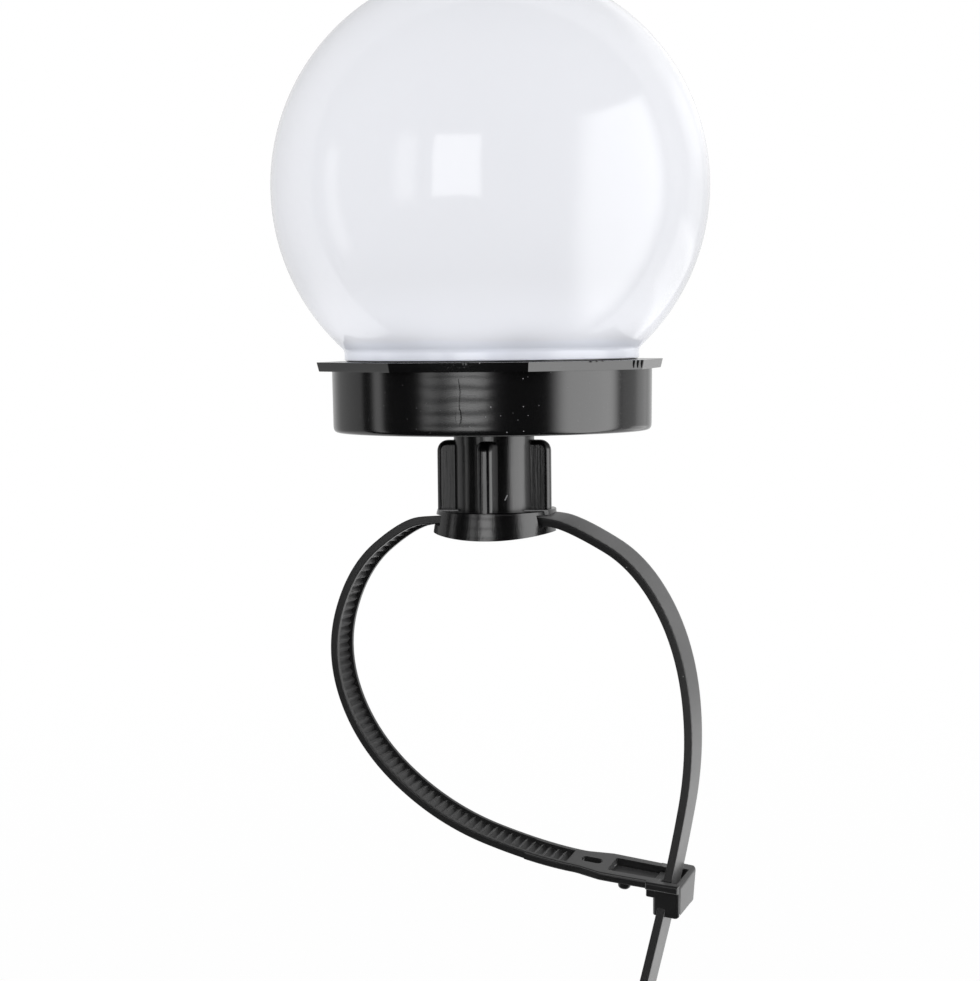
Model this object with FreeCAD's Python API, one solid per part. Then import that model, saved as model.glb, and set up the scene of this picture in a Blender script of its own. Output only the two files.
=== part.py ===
import FreeCAD, Part

import math
import os

from FreeCAD import Vector

# Garden globe light on a strap mount, in millimetres. The origin is the middle of the strap hub's
# bowed underside, where it sits on a branch. +Z points up, and the octagon's flats face X and Y.

# --- Ball and neck
GLOBE_D = 100.0
GLOBE_WALL = 1.8
NECK_INSET = 2.9          # the neck's outside from the drum's top edge
NECK_STAND = 2.6          # from the plate up to where the ball begins
NECK_GAP = 0.3            # the neck's running gap over the plate
TWIST_GAP = 0.3           # all round the neck's lugs and the turret
TWIST_TRAVEL = 20.0       # degrees from locked to free
LUG_ANGLES = (40.0, 160.0, 280.0)
LUG_ARC = 14.0
LUG_H = 1.6
LUG_DEPTH = 1.8
LUG_RISE = 1.2            # the lug's lower face above the neck's rim

# --- Octagonal plate and its turret
PLATE_OVERHANG = 0.75     # the plate's flats past the drum's top edge
PLATE_T = 2.1
PLATE_DRAFT = 0.5
TURRET_H = 5.0
TURRET_WALL = 3.4
SKIRT_H = 2.6
SKIRT_WALL = 1.3
SKIRT_GAP = 0.3
LEAD_HOLE_D = 1.4

# --- Drum
DRUM_D = 73.2             # at its top edge
DRUM_DRAFT = 0.2
DRUM_H = 14.0
DRUM_WALL = 1.8
DRUM_FLOOR = 1.8
DRUM_ROUND = 1.1
REBATE_DEPTH = 0.8
REBATE_H = 1.0

# --- Swivel between drum and hub
SPIGOT_LENGTH = 11.0
SPIGOT_WALL = 1.6
SWIVEL_FIT = 0.05
SWIVEL_GAP = 0.2          # between the hub's rim and the drum
SNAP_RISE = 0.3
SNAP_H = 1.2
SNAP_UP = 2.0             # snap ring above the spigot's end

# --- Strap hub
HUB_TURN = 4.0            # degrees about Z
HUB_H = 24.2
HUB_TUBE_D = 18.74
HUB_WALL = 1.77
BEAD_STAND = 0.18
BEAD_H = 2.6
COLLAR_D = 28.2           # at its foot
COLLAR_DRAFT = 0.85
SEAT_RISE = 1.4           # the underside is bowed: its sides lie this much higher
CHANNEL_FLOOR = 1.0
CHANNEL_W = 15.6
CHANNEL_H = 3.0
CHANNEL_ROOF = 0.9
SOCKET_FLOOR = 1.4
RIB_COUNT = 4
RIB_TOP_STEP = 1.9        # rib tops below the hub's rim
RIB_INSET = 0.3           # the ribs' ends from the collar's upper edge
RIB_T = 3.2
RIB_TOP_ROUND = 2.5
LIP_T = 0.8
LIP_W = 12.0
LIP_INSET = 0.1

# --- Cable tie: its route lies in one upright plane, u to the right and v up from the channel's middle
TIE_TURN = -10.5          # degrees about Z
TIE_W = 7.6
TIE_T = 1.7
RAIL_W = 1.0
TOOTH_PITCH = 2.0
TOOTH_DEPTH = 0.55
PLAIN_LENGTH = 19.7       # from the head to the first tooth
TIP_LENGTH = 22.0
TIP_W = 3.2
ROUTE_SHARE = 0.48        # share of the shorter run that a bend uses
LOOP_ROUTE = ((39.9, -80.0), (11.0, -76.5), (-13.0, -69.0), (-32.5, -53.0), (-40.5, -32.0), (-34.5, -12.0),
              (-21.0, -1.5), (-13.0, -0.3), (13.0, 0.3), (21.0, -0.5), (35.5, -9.7), (46.0, -27.5),
              (48.5, -51.5), (43.8, -76.1))
TAIL_ROUTE = ((36.9, -103.7), (30.6, -127.5), (23.6, -150.0))
ROUTE = LOOP_ROUTE + TAIL_ROUTE

# --- Tie head and pawl
HEAD_L = 6.3
HEAD_W = 12.0
HEAD_DEPTH = 6.6          # below the strap
HEAD_ROUND = 0.6
NECK_W = 9.5
NECK_TAPER = 6.0
WINDOW_L = 11.8
WINDOW_W = 6.4
STEP_L = 1.5
STEP_W = 10.8
STEP_DEPTH = 2.1
SLOT_GAP = 0.25
OVAL_L = 5.0
OVAL_W = 2.2
OVAL_AT = 17.2            # from the head's face
POCKET_DEPTH = 5.4
PAWL_W = 5.2
PAWL_T = 1.1
PAWL_TOP = 0.5
PAWL_END_GAP = 0.8
PAWL_GAP = 0.25
PAWL_TOOTH_COUNT = 2
PAWL_TOOTH = 0.9
PAWL_LOW = 4.3
PIVOT_D = 1.2
PIVOT_FIT = 0.05
PIVOT_IN = 0.75           # pivot before the head's face
PIVOT_DOWN = 0.95
PIVOT_GRIP = 0.9
NUB_D = 2.9
NUB_DROP = 1.8            # below the strap
NUB_AT = 1.5              # from the lever's end

# --- Solar panel
PANEL_TO_LED = 0.8
BACKING_T = 1.0
CELL_T = 0.25
CELL_ROW_COUNT = 4
CELL_COLUMN_COUNT = 2
CELL_GAP = 0.6
CELL_EDGE = 1.2
COVER_T = 1.0
POCKET_H = 0.9
POCKET_FIT = 0.2
COVER_FIT = 0.05

# --- Lamps and control board
LED_D = 5.0
LED_H = 8.4
LED_FLANGE_D = 5.6
LED_FLANGE_H = 0.9
LED_FIT = 0.2
LED_DROP = 1.2            # flange seat below the plate's underside
LED_X = 8.0
LED_BACK = 0.7            # behind the board's middle
LEG_T = 0.5
LEG_SPACING = 2.54
BOARD_W = 30.0
BOARD_D = 11.0
BOARD_INSET = 11.6        # the board's middle from the drum's bore
BOARD_T = 1.0
BOARD_RISE = 5.0          # above the drum's floor
POST_D = 4.2
POST_X = 12.6
POST_AHEAD = 3.0          # past the board's middle
CHIP_SIZE = (4.0, 3.0, 1.5)
CHIP_AT = (-2.6, 2.6)     # from the board's middle
COIL_D = 4.0
COIL_H = 5.0
COIL_AT = (3.4, 2.8)
BOARD_SCREW_D = 1.7
BOARD_SCREW_L = 5.0
BOARD_SCREW_HEAD_D = 3.2
BOARD_SCREW_HEAD_H = 1.1

# --- Slide switch
SWITCH_SIZE = (8.6, 4.4, 4.7)
SWITCH_BACK = 1.0         # behind the board's middle
SWITCH_TRAVEL = 2.0
KNOB_L = 2.0
KNOB_W = 2.0
FOOT_L = 4.0
FOOT_W = 2.8
FOOT_H = 1.2
FOOT_GAP = 0.2
SWITCH_SKIN = 0.6
KNOB_GAP = 0.4
RECESS = (10.0, 5.0, 1.0)
KNOB_SET_IN = 0.2         # knob inside the drum's underside

# --- Battery and its holder
CELL_D = 10.5
CELL_L = 43.5
NUB_CELL_D = 3.8
NUB_CELL_L = 1.0
TRAY_WALL = 1.3
TRAY_FLOOR = 1.0
TRAY_SIDE_H = 6.8
TRAY_END_H = 9.8
TRAY_END_TOP_W = 7.0
CELL_FIT = 0.15
SPRING_L = 4.6
SPRING_D = 7.0
SPRING_WIRE = 0.6
SPRING_TURNS = 3.0
CONTACT_T = 0.4
CONTACT_W = 9.0
CONTACT_H = 9.0

# --- Leads
LEAD_D = 1.0
LEAD_SHARE = 0.45
PANEL_LEAD_X = 2.5
PANEL_LEAD_INSET = 4.0
BOARD_LEAD_BACK = 3.8
BATTERY_LEAD_X = 13.2
BATTERY_LEAD_DOWN = 2.0   # below the plate
BATTERY_LEAD_OUT = 4.3    # straight out from the contact
LEAD_MARGIN = 1.6         # the lead on the contact, below its top edge

# --- Screws and seals
SCREW_INSET = 5.1         # from the drum's bore
SCREW_ANGLES = (38.0, 142.0, 270.0)
SCREW_D = 2.6
SCREW_L = 9.0
SCREW_HEAD_D = 5.0
SCREW_HEAD_H = 1.8
SCREW_FIT = 0.2
THREAD_FIT = 0.02
COUNTERBORE_DEPTH = 3.0
COUNTERBORE_FIT = 0.4
TOWER_D = 8.4
TOWER_H = 3.8
BOSS_D = 6.0
SEAL_FIT = 0.05
GLOBE_SEAL_W = 1.0
GLOBE_SEAL_H = 0.7
GLOBE_SEAL_GROOVE = 0.6

# --- Heights that follow
CHANNEL_Z = SEAT_RISE + CHANNEL_FLOOR
CHANNEL_MID = CHANNEL_Z + CHANNEL_H / 2
COLLAR_TOP = CHANNEL_Z + CHANNEL_H + CHANNEL_ROOF
DRUM_Z = HUB_H + SWIVEL_GAP
FLOOR_Z = DRUM_Z + DRUM_FLOOR
PLATE_Z = DRUM_Z + DRUM_H
PLATE_TOP = PLATE_Z + PLATE_T
TURRET_TOP = PLATE_TOP + TURRET_H
NECK_RIM = PLATE_TOP + NECK_GAP
BOARD_Z = FLOOR_Z + BOARD_RISE
BOARD_TOP = BOARD_Z + BOARD_T

# --- Widths that follow
DRUM_BOTTOM_D = DRUM_D - 2 * DRUM_DRAFT
PLATE_FLATS = DRUM_D + 2 * PLATE_OVERHANG
NECK_D = DRUM_D - 2 * NECK_INSET
COLLAR_TOP_D = COLLAR_D - 2 * COLLAR_DRAFT
RIB_REACH = COLLAR_TOP_D / 2 - RIB_INSET
LIP_REACH = COLLAR_D / 2 - LIP_INSET

# --- Radii that follow
GLOBE_R = GLOBE_D / 2
NECK_R = NECK_D / 2
NECK_BORE_R = NECK_R - GLOBE_WALL
GLOBE_Z = PLATE_TOP + NECK_STAND + math.sqrt(GLOBE_R ** 2 - NECK_R ** 2)
TURRET_R = NECK_BORE_R - TWIST_GAP
DRUM_BORE_R = DRUM_BOTTOM_D / 2 - DRUM_WALL
REBATE_R = DRUM_BORE_R + REBATE_DEPTH
SKIRT_R = DRUM_BORE_R - SKIRT_GAP
SCREW_CIRCLE_R = DRUM_BORE_R - SCREW_INSET
SOCKET_R = HUB_TUBE_D / 2 - HUB_WALL
SPIGOT_R = SOCKET_R - SWIVEL_FIT

# --- Places inside the drum that follow
TRAY_INNER_HALF = (SPRING_L + CELL_L + NUB_CELL_L) / 2 + CONTACT_T
BOARD_Y = DRUM_BORE_R - BOARD_INSET
LED_Y = BOARD_Y - LED_BACK
POST_Y = BOARD_Y + POST_AHEAD
SWITCH_Y = BOARD_Y - SWITCH_BACK
BOARD_LEAD_Y = BOARD_Y - BOARD_LEAD_BACK
PANEL_SIDE = 2 * (LED_Y - LED_D / 2 - PANEL_TO_LED)
PANEL_LEAD_Y = PANEL_SIDE / 2 - PANEL_LEAD_INSET
BATTERY_LEAD_Z = PLATE_Z - BATTERY_LEAD_DOWN
BATTERY_LEAD_TURN_Y = CONTACT_W / 2 + BATTERY_LEAD_OUT


def cylinder(radius, z_low, z_high, x=0.0, y=0.0):
    return Part.makeCylinder(radius, z_high - z_low, Vector(x, y, z_low))


def ring(r_in, r_out, z_low, z_high):
    return cylinder(r_out, z_low, z_high).cut(cylinder(r_in, z_low - 1.0, z_high + 1.0))


def box(x_low, x_high, y_low, y_high, z_low, z_high):
    return Part.makeBox(x_high - x_low, y_high - y_low, z_high - z_low, Vector(x_low, y_low, z_low))


def sector(r_in, r_out, z_low, z_high, middle, arc):
    """A piece of a ring, arc degrees wide about the angle middle."""
    wedge = Part.makeCylinder(r_out, z_high - z_low, Vector(0, 0, z_low), Vector(0, 0, 1), arc)
    wedge.rotate(Vector(0, 0, 0), Vector(0, 0, 1), middle - arc / 2)
    return wedge.cut(cylinder(r_in, z_low - 1.0, z_high + 1.0))


def lathe(points):
    """A solid turned about Z from (radius, height) points."""
    outline = Part.makePolygon([Vector(r, 0, z) for r, z in points] + [Vector(points[0][0], 0, points[0][1])])
    return Part.Face(outline).revolve(Vector(0, 0, 0), Vector(0, 0, 1), 360)


def prism(points, y_low, y_high):
    """An outline of (x, z) points, drawn out along Y."""
    corners = [Vector(x, y_low, z) for x, z in points]
    return Part.Face(Part.makePolygon(corners + corners[:1])).extrude(Vector(0, y_high - y_low, 0))


def polar(radius, degrees):
    return radius * math.cos(math.radians(degrees)), radius * math.sin(math.radians(degrees))


def group(shapes):
    return Part.makeCompound(shapes)


# ---------------------------------------------------------------- ball

def globe():
    wall_r = GLOBE_R - GLOBE_WALL
    outer_join = GLOBE_Z - math.sqrt(GLOBE_R ** 2 - NECK_R ** 2)
    inner_join = GLOBE_Z - math.sqrt(wall_r ** 2 - NECK_BORE_R ** 2)
    top_out = Vector(0, 0, GLOBE_Z + GLOBE_R)
    top_in = Vector(0, 0, GLOBE_Z + wall_r)
    side_out = Vector(GLOBE_R, 0, GLOBE_Z)
    side_in = Vector(wall_r, 0, GLOBE_Z)
    rim_in = Vector(NECK_BORE_R, 0, NECK_RIM)
    rim_out = Vector(NECK_R, 0, NECK_RIM)
    join_out = Vector(NECK_R, 0, outer_join)
    join_in = Vector(NECK_BORE_R, 0, inner_join)
    outline = Part.Wire([
        Part.makeLine(rim_in, rim_out),
        Part.makeLine(rim_out, join_out),
        Part.Arc(join_out, side_out, top_out).toShape(),
        Part.makeLine(top_out, top_in),
        Part.Arc(top_in, side_in, join_in).toShape(),
        Part.makeLine(join_in, rim_in),
    ])
    shell = Part.Face(outline).revolve(Vector(0, 0, 0), Vector(0, 0, 1), 360)
    low = NECK_RIM + LUG_RISE
    lugs = [sector(NECK_BORE_R - LUG_DEPTH, NECK_BORE_R + GLOBE_WALL / 2, low, low + LUG_H, angle, LUG_ARC)
            for angle in LUG_ANGLES]
    return shell.fuse(lugs)


def globe_seal():
    middle = (NECK_R + NECK_BORE_R) / 2
    base = PLATE_TOP - GLOBE_SEAL_GROOVE
    half = GLOBE_SEAL_W / 2 - SEAL_FIT
    return ring(middle - half, middle + half, base, base + GLOBE_SEAL_H)


# ---------------------------------------------------------------- plate

def octagon(flats, z):
    radius = flats / 2 / math.cos(math.radians(22.5))
    corners = [Vector(*polar(radius, 22.5 + 45 * k), z) for k in range(8)]
    return Part.makePolygon(corners + corners[:1])


def twist_grooves():
    """For each lug, a run for the twist and a gate up through the turret's top."""
    low = NECK_RIM + LUG_RISE - TWIST_GAP
    high = NECK_RIM + LUG_RISE + LUG_H + TWIST_GAP
    depth_r = NECK_BORE_R - LUG_DEPTH - TWIST_GAP
    side = math.degrees(TWIST_GAP / depth_r)
    cuts = []
    for angle in LUG_ANGLES:
        run_arc = LUG_ARC + TWIST_TRAVEL + 2 * side
        cuts.append(sector(depth_r, NECK_R, low, high, angle + TWIST_TRAVEL / 2, run_arc))
        cuts.append(sector(depth_r, NECK_R, low, TURRET_TOP + 1.0, angle + TWIST_TRAVEL, LUG_ARC + 2 * side))
    return cuts


def panel_pocket():
    half = PANEL_SIDE / 2 + POCKET_FIT
    return box(-half, half, -half, half, PLATE_TOP - POCKET_H, PLATE_TOP + 1.0)


def plate_holes():
    holes = [cylinder(LED_D / 2 + LED_FIT, PLATE_Z - 1.0, PLATE_TOP + 1.0, side * LED_X, LED_Y)
             for side in (-1, 1)]
    holes += [cylinder(LEAD_HOLE_D / 2, PLATE_Z - 1.0, PLATE_TOP, side * PANEL_LEAD_X, PANEL_LEAD_Y)
              for side in (-1, 1)]
    return holes


def screw_places():
    return [polar(SCREW_CIRCLE_R, angle) for angle in SCREW_ANGLES]


def plate_bosses():
    low = FLOOR_Z + TOWER_H
    return [cylinder(BOSS_D / 2, low, PLATE_Z, x, y) for x, y in screw_places()]


def screw_seat_z():
    return DRUM_Z + COUNTERBORE_DEPTH


def top_plate():
    slab = Part.makeLoft([octagon(PLATE_FLATS - 2 * PLATE_DRAFT, PLATE_Z), octagon(PLATE_FLATS, PLATE_TOP)],
                         True, True)
    turret = ring(TURRET_R - TURRET_WALL, TURRET_R, PLATE_TOP, TURRET_TOP)
    skirt = ring(SKIRT_R - SKIRT_WALL, SKIRT_R, PLATE_Z - SKIRT_H, PLATE_Z)
    plate = slab.fuse([turret, skirt] + plate_bosses())
    middle = (NECK_R + NECK_BORE_R) / 2
    half = GLOBE_SEAL_W / 2
    groove = ring(middle - half, middle + half, PLATE_TOP - GLOBE_SEAL_GROOVE, PLATE_TOP + 1.0)
    thread_r = SCREW_D / 2 + THREAD_FIT
    threads = [cylinder(thread_r, FLOOR_Z, screw_seat_z() + SCREW_L + 0.5, x, y) for x, y in screw_places()]
    outside = ring(TURRET_R, 2 * NECK_R, PLATE_TOP, TURRET_TOP)
    keep_off = [cut.cut(outside) for cut in twist_grooves()]
    return plate.cut(keep_off + [groove, panel_pocket()] + plate_holes() + threads)


# ---------------------------------------------------------------- solar panel

def solar_backing():
    half = PANEL_SIDE / 2
    low = PLATE_TOP - POCKET_H
    return box(-half, half, -half, half, low, low + BACKING_T)


def cell_field():
    half = PANEL_SIDE / 2 - CELL_EDGE
    low = PLATE_TOP - POCKET_H + BACKING_T
    return half, low


def solar_cells():
    half, low = cell_field()
    length = (2 * half - (CELL_COLUMN_COUNT - 1) * CELL_GAP) / CELL_COLUMN_COUNT
    width = (2 * half - (CELL_ROW_COUNT - 1) * CELL_GAP) / CELL_ROW_COUNT
    cells = []
    for column in range(CELL_COLUMN_COUNT):
        for row in range(CELL_ROW_COUNT):
            x = -half + column * (length + CELL_GAP)
            y = -half + row * (width + CELL_GAP)
            cells.append(box(x, x + length, y, y + width, low, low + CELL_T))
    return group(cells)


def solar_cover():
    half, low = cell_field()
    edge = PANEL_SIDE / 2
    inner = half + COVER_FIT
    slab = box(-edge, edge, -edge, edge, low, low + COVER_T)
    return slab.cut(box(-inner, inner, -inner, inner, low - 1.0, low + CELL_T + COVER_FIT))


# ---------------------------------------------------------------- drum

def drum():
    top_r = DRUM_D / 2
    low_r = DRUM_BOTTOM_D / 2
    body = lathe([(0, DRUM_Z), (low_r, DRUM_Z), (top_r, PLATE_Z), (0, PLATE_Z)])
    rim = [edge for edge in body.Edges if abs(edge.BoundBox.ZMax - DRUM_Z) < 0.01 and edge.BoundBox.XMax > 1.0
           and edge.BoundBox.YLength > 1.0]
    body = body.makeFillet(DRUM_ROUND, rim)
    body = body.cut([cylinder(DRUM_BORE_R, FLOOR_Z, PLATE_Z + 1.0),
                     cylinder(REBATE_R, PLATE_Z - REBATE_H, PLATE_Z + 1.0)])
    towers = [cylinder(TOWER_D / 2, FLOOR_Z - 0.5, FLOOR_Z + TOWER_H, x, y) for x, y in screw_places()]
    posts = [cylinder(POST_D / 2, FLOOR_Z - 0.5, BOARD_Z, side * POST_X, POST_Y) for side in (-1, 1)]
    body = body.fuse(towers + posts + [spigot()])
    return body.cut(drum_holes())


def spigot():
    end = DRUM_Z - SPIGOT_LENGTH
    snap = end + SNAP_UP
    body = cylinder(SPIGOT_R, end, DRUM_Z + 0.5)
    bead = lathe([(0, snap), (SPIGOT_R, snap), (SPIGOT_R + SNAP_RISE, snap + SNAP_H / 2),
                  (SPIGOT_R, snap + SNAP_H), (0, snap + SNAP_H)])
    core = cylinder(SPIGOT_R - SPIGOT_WALL, end - 1.0, DRUM_Z)
    return body.fuse(bead).cut(core)


def drum_holes():
    cuts = []
    for x, y in screw_places():
        cuts.append(cylinder(SCREW_D / 2 + SCREW_FIT, DRUM_Z - 1.0, FLOOR_Z + TOWER_H + 1.0, x, y))
        cuts.append(cylinder(SCREW_HEAD_D / 2 + COUNTERBORE_FIT, DRUM_Z - 1.0, screw_seat_z(), x, y))
    for side in (-1, 1):
        low = BOARD_TOP - BOARD_SCREW_L - 0.5
        cuts.append(cylinder(BOARD_SCREW_D / 2 + THREAD_FIT, low, BOARD_Z + 1.0, side * POST_X, POST_Y))
    length, width, depth = RECESS
    cuts.append(box(-length / 2, length / 2, SWITCH_Y - width / 2, SWITCH_Y + width / 2,
                    DRUM_Z - 1.0, DRUM_Z + depth))
    half_l = (KNOB_L + SWITCH_TRAVEL) / 2 + KNOB_GAP
    half_w = KNOB_W / 2 + KNOB_GAP
    cuts.append(box(-half_l, half_l, SWITCH_Y - half_w, SWITCH_Y + half_w, DRUM_Z - 1.0, FLOOR_Z + 1.0))
    return cuts


def case_seal():
    return ring(SKIRT_R + SEAL_FIT, REBATE_R - SEAL_FIT, PLATE_Z - REBATE_H, PLATE_Z)


def case_screws():
    seat = screw_seat_z()
    screws = []
    for x, y in screw_places():
        head = cylinder(SCREW_HEAD_D / 2, seat - SCREW_HEAD_H, seat, x, y)
        shank = cylinder(SCREW_D / 2, seat - 0.5, seat + SCREW_L, x, y)
        reach = SCREW_HEAD_D * 0.36
        width = SCREW_HEAD_D * 0.09
        low = seat - SCREW_HEAD_H
        cross = [box(x - reach, x + reach, y - width, y + width, low - 1.0, low + SCREW_HEAD_H / 2),
                 box(x - width, x + width, y - reach, y + reach, low - 1.0, low + SCREW_HEAD_H / 2)]
        screws.append(head.fuse(shank).cut(cross))
    return group(screws)


# ---------------------------------------------------------------- electronics

def control_board():
    board = box(-BOARD_W / 2, BOARD_W / 2, BOARD_Y - BOARD_D / 2, BOARD_Y + BOARD_D / 2, BOARD_Z, BOARD_TOP)
    holes = [cylinder(BOARD_SCREW_D / 2 + SCREW_FIT, BOARD_Z - 1.0, BOARD_TOP + 1.0, side * POST_X, POST_Y)
             for side in (-1, 1)]
    return board.cut(holes)


def board_screws():
    screws = []
    for side in (-1, 1):
        x = side * POST_X
        shank = cylinder(BOARD_SCREW_D / 2, BOARD_TOP - BOARD_SCREW_L, BOARD_TOP + 0.2, x, POST_Y)
        head = cylinder(BOARD_SCREW_HEAD_D / 2, BOARD_TOP, BOARD_TOP + BOARD_SCREW_HEAD_H, x, POST_Y)
        screws.append(shank.fuse(head))
    return group(screws)


def leds():
    base = PLATE_Z - LED_DROP
    lamps = []
    for side in (-1, 1):
        x = side * LED_X
        radius = LED_D / 2
        flange = cylinder(LED_FLANGE_D / 2, base, base + LED_FLANGE_H, x, LED_Y)
        body = cylinder(radius, base, base + LED_H - radius, x, LED_Y)
        dome = Part.makeSphere(radius, Vector(x, LED_Y, base + LED_H - radius))
        legs = [box(x + leg * LEG_SPACING / 2 - LEG_T / 2, x + leg * LEG_SPACING / 2 + LEG_T / 2,
                    LED_Y - LEG_T / 2, LED_Y + LEG_T / 2, BOARD_TOP, base + 0.3) for leg in (-1, 1)]
        lamps.append(body.fuse([flange, dome] + legs))
    return group(lamps)


def driver_chip():
    length, width, height = CHIP_SIZE
    x, y = CHIP_AT[0], BOARD_Y + CHIP_AT[1]
    return box(x - length / 2, x + length / 2, y - width / 2, y + width / 2, BOARD_TOP, BOARD_TOP + height)


def boost_inductor():
    x, y = COIL_AT[0], BOARD_Y + COIL_AT[1]
    flange_h = COIL_H / 5
    low = cylinder(COIL_D / 2, BOARD_TOP, BOARD_TOP + flange_h, x, y)
    core = cylinder(COIL_D * 0.4, BOARD_TOP, BOARD_TOP + COIL_H, x, y)
    high = cylinder(COIL_D / 2, BOARD_TOP + COIL_H - flange_h, BOARD_TOP + COIL_H, x, y)
    return core.fuse([low, high])


def foot_z():
    """The slider's foot runs inside the switch body, on its lower skin."""
    return BOARD_Z - SWITCH_SIZE[2] + SWITCH_SKIN + FOOT_GAP


def slide_switch():
    length, width, height = SWITCH_SIZE
    low = BOARD_Z - height
    body = box(-length / 2, length / 2, SWITCH_Y - width / 2, SWITCH_Y + width / 2, low, BOARD_Z)
    half_l = (FOOT_L + SWITCH_TRAVEL) / 2 + FOOT_GAP
    half_w = FOOT_W / 2 + FOOT_GAP
    cavity = box(-half_l, half_l, SWITCH_Y - half_w, SWITCH_Y + half_w,
                 foot_z() - FOOT_GAP, foot_z() + FOOT_H + FOOT_GAP)
    mouth_l = (KNOB_L + SWITCH_TRAVEL) / 2 + FOOT_GAP
    mouth_w = KNOB_W / 2 + FOOT_GAP
    mouth = box(-mouth_l, mouth_l, SWITCH_Y - mouth_w, SWITCH_Y + mouth_w, low - 1.0, foot_z())
    return body.cut([cavity, mouth])


def switch_slider():
    """Stored at its off end; it slides towards +X."""
    x = -SWITCH_TRAVEL / 2
    foot = box(x - FOOT_L / 2, x + FOOT_L / 2, SWITCH_Y - FOOT_W / 2, SWITCH_Y + FOOT_W / 2,
               foot_z(), foot_z() + FOOT_H)
    knob = box(x - KNOB_L / 2, x + KNOB_L / 2, SWITCH_Y - KNOB_W / 2, SWITCH_Y + KNOB_W / 2,
               DRUM_Z + KNOB_SET_IN, foot_z() + FOOT_H / 2)
    return foot.fuse(knob)


# ---------------------------------------------------------------- battery

def cell_axis_z():
    return FLOOR_Z + TRAY_FLOOR + CELL_FIT + CELL_D / 2


def battery_tray():
    half_l = TRAY_INNER_HALF + TRAY_WALL
    inner_w = CELL_D / 2 + CELL_FIT
    half_w = inner_w + TRAY_WALL
    base = FLOOR_Z + TRAY_FLOOR
    body = box(-half_l, half_l, -half_w, half_w, FLOOR_Z, FLOOR_Z + TRAY_SIDE_H)
    ends = [box(min(side * TRAY_INNER_HALF, side * half_l), max(side * TRAY_INNER_HALF, side * half_l),
                -TRAY_END_TOP_W / 2, TRAY_END_TOP_W / 2, FLOOR_Z, FLOOR_Z + TRAY_END_H) for side in (-1, 1)]
    room = box(-TRAY_INNER_HALF, TRAY_INNER_HALF, -inner_w, inner_w, base, PLATE_Z)
    return body.fuse(ends).cut(room)


def cell_start_x():
    return -TRAY_INNER_HALF + CONTACT_T + SPRING_L


def battery_cell():
    start = Vector(cell_start_x(), 0, cell_axis_z())
    can = Part.makeCylinder(CELL_D / 2, CELL_L, start, Vector(1, 0, 0))
    can = can.makeFillet(0.6, can.Edges[0:1] + can.Edges[2:3])
    nub = Part.makeCylinder(NUB_CELL_D / 2, NUB_CELL_L + 0.5, start + Vector(CELL_L - 0.5, 0, 0), Vector(1, 0, 0))
    return can.fuse(nub)


def contact_z():
    low = FLOOR_Z + TRAY_FLOOR + CELL_FIT
    return low, low + CONTACT_H


def contact_plate():
    low, high = contact_z()
    return box(TRAY_INNER_HALF - CONTACT_T, TRAY_INNER_HALF, -CONTACT_W / 2, CONTACT_W / 2, low, high)


def contact_spring():
    low, high = contact_z()
    back = -TRAY_INNER_HALF
    plate = box(back, back + CONTACT_T, -CONTACT_W / 2, CONTACT_W / 2, low, high)
    radius = (SPRING_D - SPRING_WIRE) / 2
    rise = SPRING_L - SPRING_WIRE
    helix = Part.makeHelix(rise / SPRING_TURNS, rise, radius)
    section = Part.Wire(Part.makeCircle(SPRING_WIRE / 2, Vector(radius, 0, 0), Vector(0, 1, 0)))
    coil = Part.Wire(helix).makePipeShell([section], True, True)
    coil.rotate(Vector(0, 0, 0), Vector(0, 1, 0), 90)
    coil.translate(Vector(back + CONTACT_T + SPRING_WIRE / 2 - 0.05, 0, cell_axis_z()))
    return plate.fuse(coil)


# ---------------------------------------------------------------- leads

def tube(points, diameter):
    """A round lead: straight runs joined by tangent arcs."""
    edges = []
    here = points[0]
    for before, corner, after in zip(points[:-2], points[1:-1], points[2:]):
        inward = (corner - before).normalize()
        outward = (after - corner).normalize()
        half = inward.getAngle(outward) / 2
        reach = LEAD_SHARE * min((corner - before).Length, (after - corner).Length)
        radius = reach / math.tan(half)
        start = corner - inward * reach
        end = corner + outward * reach
        to_centre = (outward - inward).normalize()
        middle = corner + to_centre * (radius / math.cos(half) - radius)
        edges.append(Part.LineSegment(here, start).toShape())
        edges.append(Part.Arc(start, middle, end).toShape())
        here = end
    edges.append(Part.LineSegment(here, points[-1]).toShape())
    section = Part.Wire(Part.makeCircle(diameter / 2, points[0], points[1] - points[0]))
    return Part.Wire(edges).makePipeShell([section], True, True)


def panel_lead(side):
    x = side * PANEL_LEAD_X
    top = PLATE_TOP - POCKET_H
    step = (top - BOARD_TOP) / 3.5
    points = [Vector(x, PANEL_LEAD_Y, top), Vector(x, PANEL_LEAD_Y, top - step),
              Vector(x, BOARD_LEAD_Y, BOARD_TOP + step), Vector(x, BOARD_LEAD_Y, BOARD_TOP)]
    return tube(points, LEAD_D)


def battery_lead(side):
    x = side * (TRAY_INNER_HALF - CONTACT_T / 2)
    start_z = contact_z()[1] - LEAD_MARGIN
    points = [Vector(x, CONTACT_W / 2, start_z), Vector(x, BATTERY_LEAD_TURN_Y, start_z),
              Vector(side * BATTERY_LEAD_X, BOARD_LEAD_Y, BATTERY_LEAD_Z),
              Vector(side * BATTERY_LEAD_X, BOARD_LEAD_Y, BOARD_TOP)]
    return tube(points, LEAD_D)


def red_leads():
    return group([panel_lead(1), battery_lead(1)])


def black_leads():
    return group([panel_lead(-1), battery_lead(-1)])


# ---------------------------------------------------------------- strap hub

def collar_radius(z):
    share = (z - SEAT_RISE) / (COLLAR_TOP - SEAT_RISE)
    return COLLAR_D / 2 + (COLLAR_TOP_D - COLLAR_D) / 2 * share


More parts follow.
